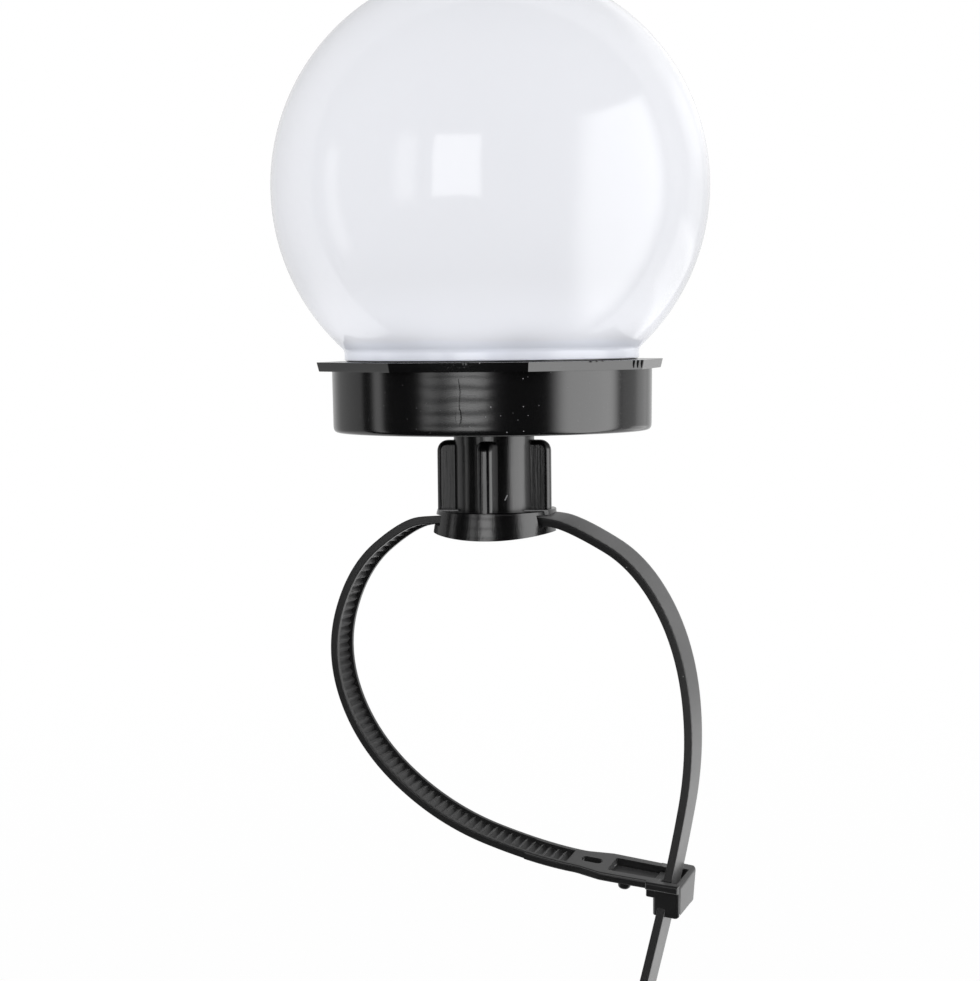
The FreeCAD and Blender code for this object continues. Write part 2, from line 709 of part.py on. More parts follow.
def rib(angle):
    centre = RIB_REACH - RIB_T / 2
    top = HUB_H - RIB_TOP_STEP
    low = COLLAR_TOP - 0.3
    blade = box(0, centre, -RIB_T / 2, RIB_T / 2, low, top).fuse(cylinder(RIB_T / 2, low, top, centre, 0))
    corner = RIB_REACH - RIB_TOP_ROUND
    cutter = box(corner, RIB_REACH + 1, -RIB_T, RIB_T, top - RIB_TOP_ROUND, top + 1)
    disc = Part.makeCylinder(RIB_TOP_ROUND, 2 * RIB_T, Vector(corner, -RIB_T, top - RIB_TOP_ROUND), Vector(0, 1, 0))
    blade = blade.cut(cutter.cut(disc))
    blade.rotate(Vector(0, 0, 0), Vector(0, 0, 1), angle)
    return blade


def slot_lips():
    """The thicker lips above the strap's two openings."""
    low = CHANNEL_Z + CHANNEL_H
    lips = box(-LIP_REACH, LIP_REACH, -LIP_W / 2, LIP_W / 2, low, low + LIP_T)
    return lips.common(cylinder(LIP_REACH, low, low + LIP_T))


def strap_hub():
    bow_r = ((COLLAR_D / 2) ** 2 + SEAT_RISE ** 2) / (2 * SEAT_RISE)
    collar = lathe([(0, 0), (collar_radius(0), 0), (collar_radius(COLLAR_TOP), COLLAR_TOP), (0, COLLAR_TOP)])
    bowed = Part.makeCylinder(bow_r, 4 * bow_r, Vector(0, -2 * bow_r, bow_r), Vector(0, 1, 0))
    collar = collar.common(bowed)
    tube_r = HUB_TUBE_D / 2
    body = cylinder(tube_r, COLLAR_TOP - 0.5, HUB_H)
    bead_low = HUB_H - BEAD_H
    bead_r = tube_r + BEAD_STAND
    bead = lathe([(0, bead_low - 0.4), (tube_r, bead_low - 0.4), (bead_r, bead_low), (bead_r, HUB_H), (0, HUB_H)])
    hub = collar.fuse([body, bead, slot_lips()] + [rib(360 / RIB_COUNT * k) for k in range(RIB_COUNT)])
    hub = hub.cut([strap_channel(), hub_socket()])
    hub.rotate(Vector(0, 0, 0), Vector(0, 0, 1), HUB_TURN)
    return hub


def strap_channel():
    return box(-COLLAR_D, COLLAR_D, -CHANNEL_W / 2, CHANNEL_W / 2, CHANNEL_Z, CHANNEL_Z + CHANNEL_H)


def hub_socket():
    floor = COLLAR_TOP + SOCKET_FLOOR
    snap = DRUM_Z - SPIGOT_LENGTH + SNAP_UP
    groove_r = SOCKET_R + SNAP_RISE
    play = SWIVEL_FIT
    bore = cylinder(SOCKET_R, floor, HUB_H + 1.0)
    groove = lathe([(0, snap - play), (SOCKET_R, snap - play), (groove_r, snap + SNAP_H / 2),
                    (SOCKET_R, snap + SNAP_H + play), (0, snap + SNAP_H + play)])
    return bore.fuse(groove)


# ---------------------------------------------------------------- cable tie

class Route:
    """Straight runs joined by tangent arcs in the (u, v) plane, walked from the head to the tail's tip."""

    def __init__(self, points, share):
        self.pieces = []
        here = Vector(points[0][0], points[0][1], 0)
        corners = [Vector(u, v, 0) for u, v in points]
        for before, corner, after in zip(corners[:-2], corners[1:-1], corners[2:]):
            inward = (corner - before).normalize()
            outward = (after - corner).normalize()
            half = inward.getAngle(outward) / 2
            reach = share * min((corner - before).Length, (after - corner).Length)
            start = corner - inward * reach
            end = corner + outward * reach
            side = 1 if inward.cross(outward).z > 0 else -1
            centre = start + Vector(-inward.y, inward.x, 0) * (side * reach / math.tan(half))
            self.add_line(here, start)
            self.pieces.append(("arc", start, end, centre, side, 2 * half))
            here = end
        self.add_line(here, corners[-1])

    def add_line(self, start, end):
        if (end - start).Length > 1e-6:
            self.pieces.append(("line", start, end, None, 0, 0.0))

    def piece_length(self, piece):
        kind, start, end, centre, side, turn = piece
        if kind == "line":
            return (end - start).Length
        return (start - centre).Length * turn

    def length(self):
        return sum(self.piece_length(piece) for piece in self.pieces)

    def at(self, distance, offset):
        """The point at this distance along the route, offset to the left of the way it runs."""
        for piece in self.pieces:
            span = self.piece_length(piece)
            if distance <= span or piece is self.pieces[-1]:
                break
            distance -= span
        kind, start, end, centre, side, turn = piece
        if kind == "line":
            way = (end - start).normalize()
            return start + way * distance + Vector(-way.y, way.x, 0) * offset
        radius = (start - centre).Length
        angle = side * distance / radius
        spoke = start - centre
        turned = Vector(spoke.x * math.cos(angle) - spoke.y * math.sin(angle),
                        spoke.x * math.sin(angle) + spoke.y * math.cos(angle), 0)
        return centre + turned * ((radius - side * offset) / radius)

    def edges(self, offset):
        """The route's edges, moved sideways, as edges in the XZ plane."""
        out = []
        for kind, start, end, centre, side, turn in self.pieces:
            if kind == "line":
                way = (end - start).normalize()
                move = Vector(-way.y, way.x, 0) * offset
                out.append(Part.LineSegment(upright(start + move), upright(end + move)).toShape())
                continue
            radius = (start - centre).Length
            scale = (radius - side * offset) / radius
            bulge = ((start + end) / 2 - centre).normalize() * radius
            points = [centre + (point) * scale for point in (start - centre, bulge, end - centre)]
            out.append(Part.Arc(*[upright(point) for point in points]).toShape())
        return out


def upright(point):
    return Vector(point.x, 0, point.y)


def strap_band(route, left, right_edges, y_low, y_high):
    """A band between the route's left offset and a chain of edges on its right."""
    outer = route.edges(left)
    start = Part.makeLine(right_edges[0].Vertexes[0].Point, outer[0].Vertexes[0].Point)
    end = Part.makeLine(outer[-1].Vertexes[-1].Point, right_edges[-1].Vertexes[-1].Point)
    wire = Part.Wire(Part.__sortEdges__([start] + outer + [end] + right_edges))
    face = Part.Face(wire)
    face.translate(Vector(0, y_low, 0))
    return face.extrude(Vector(0, y_high - y_low, 0))


def toothed_edges(route):
    """The inner face between the rails: plain by the head and at the tip, a saw tooth in between."""
    crest = -TIE_T / 2
    root = crest + TOOTH_DEPTH
    last = route.length() - TIP_LENGTH
    count = int((last - PLAIN_LENGTH) / TOOTH_PITCH)
    points = []
    plain_steps = 24
    for step in range(plain_steps):
        points.append(route.at(PLAIN_LENGTH * step / plain_steps, crest))
    for tooth in range(count):
        start = PLAIN_LENGTH + tooth * TOOTH_PITCH
        points.append(route.at(start, crest))
        points.append(route.at(start + 0.12 * TOOTH_PITCH, root))
        points.append(route.at(start + 0.5 * TOOTH_PITCH, root))
    end = PLAIN_LENGTH + count * TOOTH_PITCH
    points.append(route.at(end, crest))
    tip_steps = 8
    for step in range(1, tip_steps + 1):
        points.append(route.at(end + (route.length() - end) * step / tip_steps, crest))
    return [Part.makeLine(upright(a), upright(b)) for a, b in zip(points[:-1], points[1:])]


def strap(route):
    half = TIE_W / 2
    inner = half - RAIL_W
    web = strap_band(route, TIE_T / 2, toothed_edges(route), -inner, inner)
    rails = [strap_band(route, TIE_T / 2, route.edges(-TIE_T / 2), -half, -inner),
             strap_band(route, TIE_T / 2, route.edges(-TIE_T / 2), inner, half)]
    return web.fuse(rails).cut(tip_wedges())


def tip_wedges():
    """The two wedges that taper the tail to its tip."""
    before, last = (Vector(u, 0, v) for u, v in ROUTE[-2:])
    way = (last - before).normalize()
    angle = math.degrees(math.atan2(way.z, way.x))
    wedges = []
    for side in (-1, 1):
        low = -3 * TIE_T
        corners = [Vector(-TIP_LENGTH, side * TIE_W / 2, low), Vector(1, side * TIP_W / 2, low),
                   Vector(1, side * TIE_W, low), Vector(-TIP_LENGTH, side * TIE_W, low)]
        wedge = Part.Face(Part.makePolygon(corners + corners[:1])).extrude(Vector(0, 0, 6 * TIE_T))
        wedge.rotate(Vector(0, 0, 0), Vector(0, 1, 0), -angle)
        wedge.translate(last)
        wedges.append(wedge)
    return wedges


def head_place():
    """Where the head's centre is, and how far the strap slopes down into it."""
    root = Vector(*ROUTE[0], 0)
    way = (root - Vector(*ROUTE[1], 0)).normalize()
    return root + way * (HEAD_L / 2), math.degrees(math.atan2(-way.y, way.x))


def place_on_head(shape):
    """From the head's own frame (X along the strap, Z towards the loop's inside) to the tie's plane."""
    centre, slope = head_place()
    shape.rotate(Vector(0, 0, 0), Vector(0, 1, 0), slope)
    shape.translate(upright(centre))
    return shape


def place_tie(shape):
    """From the tie's plane to the lamp's frame."""
    shape.rotate(Vector(0, 0, 0), Vector(0, 0, 1), TIE_TURN)
    shape.translate(Vector(0, 0, CHANNEL_MID))
    return shape


def through_line():
    """The straight run through the head: a point on it and its direction, in the head's frame."""
    centre, slope = head_place()
    ends = []
    for u, v in (LOOP_ROUTE[-1], TAIL_ROUTE[0]):
        point = upright(Vector(u, v, 0) - centre)
        turn = FreeCAD.Rotation(Vector(0, 1, 0), -slope)
        ends.append(turn.multVec(point))
    return ends[0], (ends[1] - ends[0]).normalize()


def strap_face_x(z):
    """X of the passing strap's toothed face at this height in the head's frame."""
    point, way = through_line()
    return point.x + way.x * (z - point.z) / way.z - TIE_T / 2 / abs(way.z)


def head_slot():
    point, way = through_line()
    half_t = TIE_T / 2 + SLOT_GAP
    half_w = TIE_W / 2 + SLOT_GAP
    slot = box(-half_t, half_t, -half_w, half_w, -4 * HEAD_DEPTH, 4 * HEAD_DEPTH)
    slot.rotate(Vector(0, 0, 0), Vector(0, 1, 0), math.degrees(math.atan2(-way.x, -way.z)))
    slot.translate(point + way * ((0 - point.z) / way.z))
    return slot


def tie_head():
    face = -HEAD_L / 2
    top = TIE_T / 2
    block = box(face, -face, -HEAD_W / 2, HEAD_W / 2, -top - HEAD_DEPTH, top)
    corners = [edge for edge in block.Edges if edge.BoundBox.ZLength > 1 or edge.BoundBox.XMin > 0]
    block = block.makeFillet(HEAD_ROUND, corners)
    step = box(face - STEP_L, face + 1, -STEP_W / 2, STEP_W / 2, -top - STEP_DEPTH, top)
    widest = face - WINDOW_L - 1.2
    narrow = widest - NECK_TAPER
    plan = [(narrow, -TIE_W / 2), (widest, -NECK_W / 2), (face + 1, -NECK_W / 2),
            (face + 1, NECK_W / 2), (widest, NECK_W / 2), (narrow, TIE_W / 2)]
    corners = [Vector(x, y, -top) for x, y in plan]
    neck = Part.Face(Part.makePolygon(corners + corners[:1])).extrude(Vector(0, 0, TIE_T))
    return block.fuse([step, neck])


def head_cuts():
    """The lever's window, the pawl's pocket, the pivot's seat, the strap's slot and the oval hole."""
    face = -HEAD_L / 2
    top = TIE_T / 2
    reach = HEAD_DEPTH + TIE_T
    window = box(face - WINDOW_L, face + 0.5, -WINDOW_W / 2, WINDOW_W / 2, -reach, reach)
    pocket = box(face, strap_face_x(0), -WINDOW_W / 2, WINDOW_W / 2, -top - POCKET_DEPTH, reach)
    grip = PAWL_W / 2 + PIVOT_GRIP + PIVOT_FIT
    seat = Part.makeCylinder(PIVOT_D / 2 + PIVOT_FIT, 2 * grip, Vector(face - PIVOT_IN, -grip, -PIVOT_DOWN),
                             Vector(0, 1, 0))
    x = face - OVAL_AT
    half_l = (OVAL_L - OVAL_W) / 2
    oval = box(x - half_l, x + half_l, -OVAL_W / 2, OVAL_W / 2, -reach, reach)
    oval = oval.fuse([cylinder(OVAL_W / 2, -reach, reach, x + side * half_l, 0) for side in (-1, 1)])
    return [window, pocket, seat, head_slot(), oval]


def cable_tie():
    route = Route(ROUTE, ROUTE_SHARE)
    cuts = group([place_on_head(cut) for cut in head_cuts()[:3] + head_cuts()[4:]])
    passing = place_on_head(head_slot())
    loop = strap(route).cut(cuts)
    head = place_on_head(tie_head()).cut(cuts).cut(passing)
    return place_tie(loop.fuse(head))


def release_pawl():
    face = -HEAD_L / 2
    under = PAWL_TOP - PAWL_T
    end = face - WINDOW_L + PAWL_END_GAP
    low = -PAWL_LOW
    first = low + PAWL_TOOTH_COUNT * PAWL_TOOTH
    outline = [(end, under), (end, PAWL_TOP), (face - 0.2, PAWL_TOP), (strap_face_x(-1.0) - 0.9, -0.4),
               (strap_face_x(first) - PAWL_GAP - 0.5, first)]
    for tooth in range(PAWL_TOOTH_COUNT):
        crest = first - (tooth + 1) * PAWL_TOOTH
        outline.append((strap_face_x(crest) - PAWL_GAP, crest + 0.15))
        outline.append((strap_face_x(crest) - PAWL_GAP - 0.5, crest))
    outline += [(face + 0.35, low), (face - 0.6, -2.4), (face - 1.6, under)]
    body = prism(outline, -PAWL_W / 2, PAWL_W / 2)
    reach = PAWL_W / 2 + PIVOT_GRIP
    bar = Part.makeCylinder(PIVOT_D / 2, 2 * reach, Vector(face - PIVOT_IN, -reach, -PIVOT_DOWN), Vector(0, 1, 0))
    nub_low = -TIE_T / 2 - NUB_DROP
    nub = cylinder(NUB_D / 2, nub_low, under + 0.2, end + NUB_AT, 0)
    nub = nub.makeChamfer(0.4, [edge for edge in nub.Edges if edge.BoundBox.ZMax < nub_low + 0.01])
    return place_tie(place_on_head(body.fuse([bar, nub])))


NODES = {
    "globe": globe,
    "globe_seal": globe_seal,
    "top_plate": top_plate,
    "solar_backing": solar_backing,
    "solar_cells": solar_cells,
    "solar_cover": solar_cover,
    "leds": leds,
    "control_board": control_board,
    "board_screws": board_screws,
    "driver_chip": driver_chip,
    "boost_inductor": boost_inductor,
    "slide_switch": slide_switch,
    "switch_slider": switch_slider,
    "battery_tray": battery_tray,
    "battery_cell": battery_cell,
    "contact_plate": contact_plate,
    "contact_spring": contact_spring,
    "red_leads": red_leads,
    "black_leads": black_leads,
    "drum": drum,
    "case_seal": case_seal,
    "case_screws": case_screws,
    "strap_hub": strap_hub,
    "cable_tie": cable_tie,
    "release_pawl": release_pawl,
}

os.makedirs("parts", exist_ok=True)
for name, make in NODES.items():
    make().exportStep("parts/" + name + ".step")
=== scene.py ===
from math import cos, pi, radians, sin, sqrt, tan

import bmesh
import bpy
from bpy.props import FloatProperty, FloatVectorProperty, PointerProperty
from bpy.types import Operator, Panel, PropertyGroup
from mathutils import Matrix, Vector


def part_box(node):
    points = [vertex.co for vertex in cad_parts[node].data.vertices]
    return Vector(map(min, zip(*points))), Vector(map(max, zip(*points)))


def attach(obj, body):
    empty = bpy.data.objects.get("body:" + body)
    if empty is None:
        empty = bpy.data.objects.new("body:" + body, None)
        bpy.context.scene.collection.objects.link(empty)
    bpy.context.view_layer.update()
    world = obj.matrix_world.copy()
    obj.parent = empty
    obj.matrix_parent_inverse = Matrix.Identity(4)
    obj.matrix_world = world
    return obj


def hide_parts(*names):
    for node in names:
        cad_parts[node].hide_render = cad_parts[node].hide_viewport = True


bl_info = {
    "name": "Garden Globe Light",
    "version": (1, 0, 0),
    "blender": (4, 5, 0),
    "location": "View3D > Sidebar > Globe Light",
    "description": "Models and finishes a garden globe light that hangs on a strap mount",
    "category": "Add Mesh",
}

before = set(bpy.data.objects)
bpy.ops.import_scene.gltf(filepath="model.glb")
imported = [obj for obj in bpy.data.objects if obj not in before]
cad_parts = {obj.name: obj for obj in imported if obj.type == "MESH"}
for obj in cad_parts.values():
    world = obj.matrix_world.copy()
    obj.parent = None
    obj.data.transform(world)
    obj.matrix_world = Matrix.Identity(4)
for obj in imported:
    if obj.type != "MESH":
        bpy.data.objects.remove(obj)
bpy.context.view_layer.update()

# Heights and widths that the new pieces share with the pieces they sit on.
BALL_LOW, BALL_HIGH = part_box("globe")
PLATE_LOW, PLATE_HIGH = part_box("top_plate")
DRUM_LOW, DRUM_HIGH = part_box("drum")
HUB_LOW, HUB_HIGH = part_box("strap_hub")
PANEL_LOW, PANEL_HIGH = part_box("solar_backing")

# The strap's way, seen square to the plane of its loop: right and up from the middle of the hub's slot,
# and how many degrees the strap is twisted there. It starts at the far end of its head.
STRAP_ROUTE = (
    (0.04616, -0.08090, -11.0),
    (0.03000, -0.07910, -14.0),
    (0.01100, -0.07680, -16.0),
    (-0.01300, -0.06920, -15.0),
    (-0.03250, -0.05300, -11.0),
    (-0.04050, -0.03200, -6.0),
    (-0.03450, -0.01190, -4.0),
    (-0.02100, -0.00110, -4.0),
    (-0.01300, 0.00000, -3.0),
    (0.01350, 0.00100, 9.0),
    (0.02150, -0.00130, 10.0),
    (0.03590, -0.00940, 7.0),
    (0.04600, -0.02750, 3.0),
    (0.04850, -0.05150, 0.0),
    (0.04380, -0.07610, 0.0),
    (0.03690, -0.10370, 0.0),
    (0.03060, -0.12750, 0.0),
    (0.02362, -0.14994, 0.0),
)

# Where the ball's locking lugs and the case screws stand round the axis, in degrees, and how many degrees
# a lug turns from its gate to its locked place.
LUG_ANGLES = (40.0, 160.0, 280.0)
SCREW_ANGLES = (38.0, 142.0, 270.0)
LUG_TURN = 20.0

# Into how many steps the strap's plain root and its tapered tip are divided.
ROOT_STEPS = 20
TIP_STEPS = 14

# Chips in the plate's upper edge: which side (degrees), how far the chip's middle lies outside as a share of
# its width, the number of its sides, its place along that side, its width and its depth.
EDGE_CHIPS = (
    (0.0, 0.12, 12, 0.0017, 0.0019, 0.0006),
    (0.0, 0.12, 12, -0.0114, 0.0005, 0.0002),
    (45.0, 0.10, 10, 0.0010, 0.0008, 0.00035),
    (45.0, 0.10, 10, 0.0026, 0.0005, 0.0003),
    (45.0, 0.10, 10, 0.0042, 0.0006, 0.0002),
)
NOTCH_PLACES = (0.0127, 0.0138, 0.0149)

# The torn-off sprue on the housing: heights above its foot, and how many times its least width it is there.
SCAR_TALL = 0.0098
SCAR_OUTLINE = (
    (0.0, 1.0), (0.0004, 2.6), (0.0013, 3.1), (0.0026, 2.5), (0.0034, 1.2), (0.0046, 1.0), (0.0056, 1.8),
    (0.0070, 2.3), (0.0082, 1.5), (SCAR_TALL, 0.3),
)

# How many degrees the camera stands to the lamp's right.
VIEW_TURN = 11.4

# What gloss sees round the lamp: lit rectangles by their left, right, low and high edges in degrees, how soft
# their edges are, and how bright they are.
LIT_PANELS = (
    (-29.0, -4.4, -7.0, 24.0, 0.02, 2.6),
    (-50.0, -38.6, -7.4, 23.0, 0.06, 1.3),
    (-94.0, -85.0, -24.0, 14.0, 0.05, 0.95),
    (120.0, 152.0, -26.0, -6.5, 0.04, 0.65),
    (130.0, 170.0, 6.0, 32.0, 0.1, 0.5),
    (126.0, 146.0, -10.0, 22.0, 0.05, 0.3),
)

# The fill lamps: where they stand, in degrees, and how bright. All stand equally high, wide and far away.
FILL_LAMPS = ((-105.0, 1.3), (-32.0, 0.9), (38.0, 1.12), (110.0, 1.75))
FILL_RISE = 4.0
FILL_SIZE = 1.6
FILL_DISTANCE = 2.4

# Two points nearer than this are one.
BIT = 1e-5

# How far a cutter goes past the face where it starts.
PAST = 0.001

# Radii of what holds the housing, the board and the plate together, and of the holes for the two lamps.
BOSS = 0.003
THREAD = 0.00132
TOWER = 0.0042
POST = 0.0021
SCREW_HOLE = 0.0015
LAMP_HOLE = 0.0027


# ------------------------------------------------------------------ sizes and colours


def length(name, description, default):
    return FloatProperty(name=name, description=description, default=default, unit="LENGTH", precision=5)


def turn(name, description, default):
    return FloatProperty(name=name, description=description, default=radians(default), unit="ROTATION")


def share(name, description, default):
    return FloatProperty(name=name, description=description, default=default, min=0.0, max=1.0,
                         subtype="FACTOR")


def colour(name, description, default):
    return FloatVectorProperty(name=name, description=description, default=default, size=3, min=0.0, max=1.0,
                               subtype="COLOR")


class BallSizes(PropertyGroup):
    diameter: length("Diameter", "Across the ball", BALL_HIGH.x - BALL_LOW.x)
    wall: length("Wall", "Thickness of the blown wall", 0.0018)
    neck: length("Neck", "Outside of the neck", 0.0674)
    neck_round: length("Neck round", "Radius where the ball turns into its neck", 0.0012)
    lug_arc: turn("Lug arc", "Width of each locking lug round the neck", 14.0)
    lug_rise: length("Lug rise", "From the neck's rim up to a lug", 0.0012)
    lug_height: length("Lug height", "Height of each locking lug", 0.0016)
    lug_depth: length("Lug depth", "How far a lug stands in from the neck", 0.0018)


class PlateSizes(PropertyGroup):
    flats: length("Across flats", "From flat to flat of the octagon", PLATE_HIGH.x - PLATE_LOW.x)
    base: length("Underside height", "Where the plate lies on the housing", 0.0384)
    thickness: length("Thickness", "Thickness of the octagonal plate", 0.0021)
    draft: length("Draft", "How much each lower edge lies further in", 0.0005)
    edge: length("Edge round", "Round of the plate's edges", 0.0001)
    turret: length("Turret radius", "Outside of the ring that carries the ball", 0.0316)
    turret_wall: length("Turret wall", "Thickness of that ring", 0.0034)
    skirt: length("Skirt radius", "Outside of the ring inside the housing", 0.0343)
    skirt_wall: length("Skirt wall", "Thickness of that ring", 0.0013)
    skirt_height: length("Skirt height", "How deep the skirt goes", 0.0026)
    pocket: length("Panel pocket", "Depth of the solar panel's pocket", 0.0009)


class HousingSizes(PropertyGroup):
    top: length("Top diameter", "Outside at the top edge", 0.0732)
    bottom: length("Bottom diameter", "Outside at the bottom edge", 0.0728)
    base: length("Underside height", "Where the housing's underside lies", 0.0244)
    floor: length("Floor thickness", "Thickness of the housing's floor", 0.0018)
    bore: length("Bore radius", "Inside of the housing", 0.0346)
    rebate: length("Seal rebate", "Width of the step for the seal", 0.0008)
    rebate_depth: length("Seal depth", "Depth of the step for the seal", 0.001)
    edge: length("Edge round", "Round of the lower edge", 0.0011)
    spigot: length("Spigot radius", "Outside of the stub that turns in the hub", 0.00755)
    spigot_wall: length("Spigot wall", "Thickness of the stub's wall", 0.0016)
    screw_circle: length("Screw circle", "Radius on which the case screws sit", 0.0295)
    counterbore: length("Counterbore", "Radius of the holes for the screw heads", 0.0029)
    counterbore_depth: length("Counterbore depth", "Depth of those holes", 0.003)
    switch_y: length("Switch place", "The switch's distance behind the middle", 0.022)


class HubSizes(PropertyGroup):
    twist: turn("Turn", "How far the hub is turned about the lamp's axis", 1.4)
    lean: length("Offset", "How far the hub's outside stands right of its socket", 0.0003)
    tube: length("Tube radius", "Outside of the tube", 0.0091)
    bead: length("Bead radius", "Outside of the bead at the top", 0.00925)
    bead_height: length("Bead height", "Height of that bead", 0.0026)
    socket: length("Socket radius", "Inside of the tube", 0.0076)
    collar_foot: length("Collar foot", "Radius of the collar at its foot", 0.0141)
    collar_top: length("Collar top", "Radius of the collar at its upper edge", 0.01325)
    collar_height: length("Collar height", "Upper edge of the collar", 0.0063)
    bow: length("Bow", "How much the underside's ends lie higher than its middle", 0.0014)
    slot_low: length("Slot floor", "Floor of the strap's slot", 0.0029)
    slot_height: length("Slot height", "Height of the strap's slot", 0.0025)
    slot_width: length("Slot width", "Width of the strap's slot", 0.0156)
    rib_reach: length("Rib reach", "From the axis to a rib's end", 0.0132)
    rib_width: length("Rib width", "Thickness of each rib", 0.0032)
    rib_top: length("Rib top", "Height of the ribs' tops", 0.0223)
    rib_round: length("Rib round", "Round of the ribs' upper corners", 0.0025)
    lip: length("Lip", "Thickness of the lip over each slot", 0.0012)


class TieSizes(PropertyGroup):
    twist: turn("Turn", "How far the loop's plane is turned about the lamp's axis", -10.5)
    height: length("Height", "Height of the strap's middle in the hub's slot", 0.0039)
    width: length("Width", "Width of the strap", 0.0076)
    thickness: length("Thickness", "Thickness of the strap", 0.0019)
    rail: length("Rail", "Width of the smooth rail along each edge", 0.00085)
    recess: length("Recess", "How far the teeth lie below the rails", 0.0006)
    edge: length("Edge round", "Round of the strap's four edges", 0.00022)
    tooth: length("Tooth pitch", "From tooth to tooth", 0.002)
    tooth_depth: length("Tooth depth", "Depth between the teeth", 0.0007)
    plain: length("Plain length", "From the head to the first tooth", 0.0214)
    bead_run: length("Bead run", "How far the bead on the near side goes on beside the teeth", 0.0103)
    tip: length("Tip length", "Length of the tapered tail", 0.022)
    tip_width: length("Tip width", "Width at the end of the tail", 0.0032)
    head: length("Head length", "Length of the head along the strap", 0.0066)
    head_near: length("Head front", "From the strap's middle to the head's near side", 0.0056)
    head_far: length("Head back", "From the strap's middle to the head's far side", 0.0069)
    head_depth: length("Head depth", "How far the head stands out from the strap", 0.0064)
    head_taper: share("Head taper", "Width of the head's foot, as a share of its width", 0.85)
    head_edge: length("Head edge", "Round of the head's edges", 0.0011)
    neck_width: length("Root width", "Width of the strap beside the window", 0.0102)
    window: length("Window length", "Length of the lever's window", 0.0115)
    window_width: length("Window width", "Width of the lever's window", 0.0064)
    lever_width: length("Lever width", "Width of the release lever", 0.0052)
    lever: length("Lever thickness", "Thickness of the release lever", 0.0011)


class FinishColours(PropertyGroup):
    milk: colour("Milky ball", "Colour of the blown ball", (0.84, 0.852, 0.90))
    housing: colour("Housing", "Colour of the gloss black housing and plate", (0.0040, 0.0040, 0.0044))
    hub: colour("Hub", "Colour of the black strap hub", (0.0030, 0.0030, 0.0034))
    nylon: colour("Nylon", "Colour of the black cable tie", (0.0045, 0.0045, 0.0048))
    dust: colour("Dust", "Colour of the specks and scuffs on black", (0.26, 0.26, 0.27))


class StudioSizes(PropertyGroup):
    distance: length("Camera distance", "From the lamp's axis to the camera", 0.59722)
    azimuth: turn("Camera azimuth", "How far the camera stands to the right", VIEW_TURN)
    camera_height: length("Camera height", "Height of the camera", 0.047485)
    pitch: turn("Camera pitch", "How far the camera looks down", 3.532)
    roll: turn("Camera roll", "How far the camera is turned about its view", -0.58)
    aim: turn("Camera aim", "How far the camera looks past the lamp's axis", 0.0713)
    lens: FloatProperty(name="Lens", description="Focal length on a 36 mm sensor", default=95.59,
                        unit="CAMERA")
    floor: length("Floor height", "Height of the pale floor", -0.1475)
    ambient: share("Ambient", "Even light from all round", 0.91)


class LampSettings(PropertyGroup):
    ball: PointerProperty(type=BallSizes)
    plate: PointerProperty(type=PlateSizes)
    housing: PointerProperty(type=HousingSizes)
    hub: PointerProperty(type=HubSizes)
    tie: PointerProperty(type=TieSizes)
    colours: PointerProperty(type=FinishColours)
    studio: PointerProperty(type=StudioSizes)


# ------------------------------------------------------------------ modelling by hand, in code


def put_down():
    """Object mode, with nothing selected."""
    if bpy.context.object and bpy.context.object.mode != "OBJECT":
        bpy.ops.object.mode_set(mode="OBJECT")
    bpy.ops.object.select_all(action="DESELECT")


def pick_up(piece):
    """Object mode, with only this piece selected and active."""
    put_down()
    piece.select_set(True)
    bpy.context.view_layer.objects.active = piece


def begin(name):
    """Names the primitive that was just added, and moves its place into its mesh."""
    piece = bpy.context.object
    piece.name = name
    piece.data.name = name
    bpy.ops.object.transform_apply(location=True, rotation=True, scale=True)
    return piece


def block(name, low, high):
    put_down()
    size = [b - a for a, b in zip(low, high)]
    middle = [(a + b) / 2 for a, b in zip(low, high)]
    bpy.ops.mesh.primitive_cube_add(size=1, location=middle, scale=size)
    return begin(name)


def rod(name, radius, low, high, x=0.0, y=0.0, vertices=48, top_radius=None):
    """An upright round bar, tapered where a top radius is given."""
    put_down()
    top_radius = radius if top_radius is None else top_radius
    bpy.ops.mesh.primitive_cone_add(vertices=vertices, radius1=radius, radius2=top_radius, depth=high - low,
                                    location=(x, y, (low + high) / 2))
    return begin(name)


def edit(piece, kind, test):
    """Edit mode, with only the verts, edges or faces that pass the test selected."""
    pick_up(piece)
    bpy.ops.object.mode_set(mode="EDIT")
    bpy.ops.mesh.select_mode(type=kind)
    bpy.ops.mesh.select_all(action="DESELECT")
    mesh = bmesh.from_edit_mesh(piece.data)
    elements = {"VERT": mesh.verts, "EDGE": mesh.edges, "FACE": mesh.faces}[kind]
    for element in elements:
        if test(element):
            element.select_set(True)
    mesh.select_flush_mode()
    bmesh.update_edit_mesh(piece.data)


def everything(element):
    return True


def middle_of(edge):
    return (edge.verts[0].co + edge.verts[1].co) / 2


def run_of(edge):
    """Which way an edge runs, as a unit vector."""
    return (edge.verts[1].co - edge.verts[0].co).normalized()


def upright(edge):
    return abs(run_of(edge).z) > 0.9


def through_strap(edge):
    """Whether an edge runs along Y, through the thickness of a straight strap."""
    return abs(run_of(edge).y) > 0.9


def at_height(edge, height):
    return abs(middle_of(edge).z - height) < BIT


def round_face(face, side, height):
    """Whether this is the one round flat face at a height, looking up (1) or down (-1)."""
    flat = face.normal.z * side > 0.9 and abs(face.calc_center_median().z - height) < BIT
    return flat and len(face.verts) > 8


def slice_at(piece, point, normal):
    """Cuts new edges all round the piece, in one plane."""
    edit(piece, "FACE", everything)
    bpy.ops.mesh.bisect(plane_co=point, plane_no=normal)


def round_edges(piece, test, width, segments=3):
    edit(piece, "EDGE", test)
    bpy.ops.mesh.bevel(offset=width, segments=segments, affect="EDGES", clamp_overlap=True)


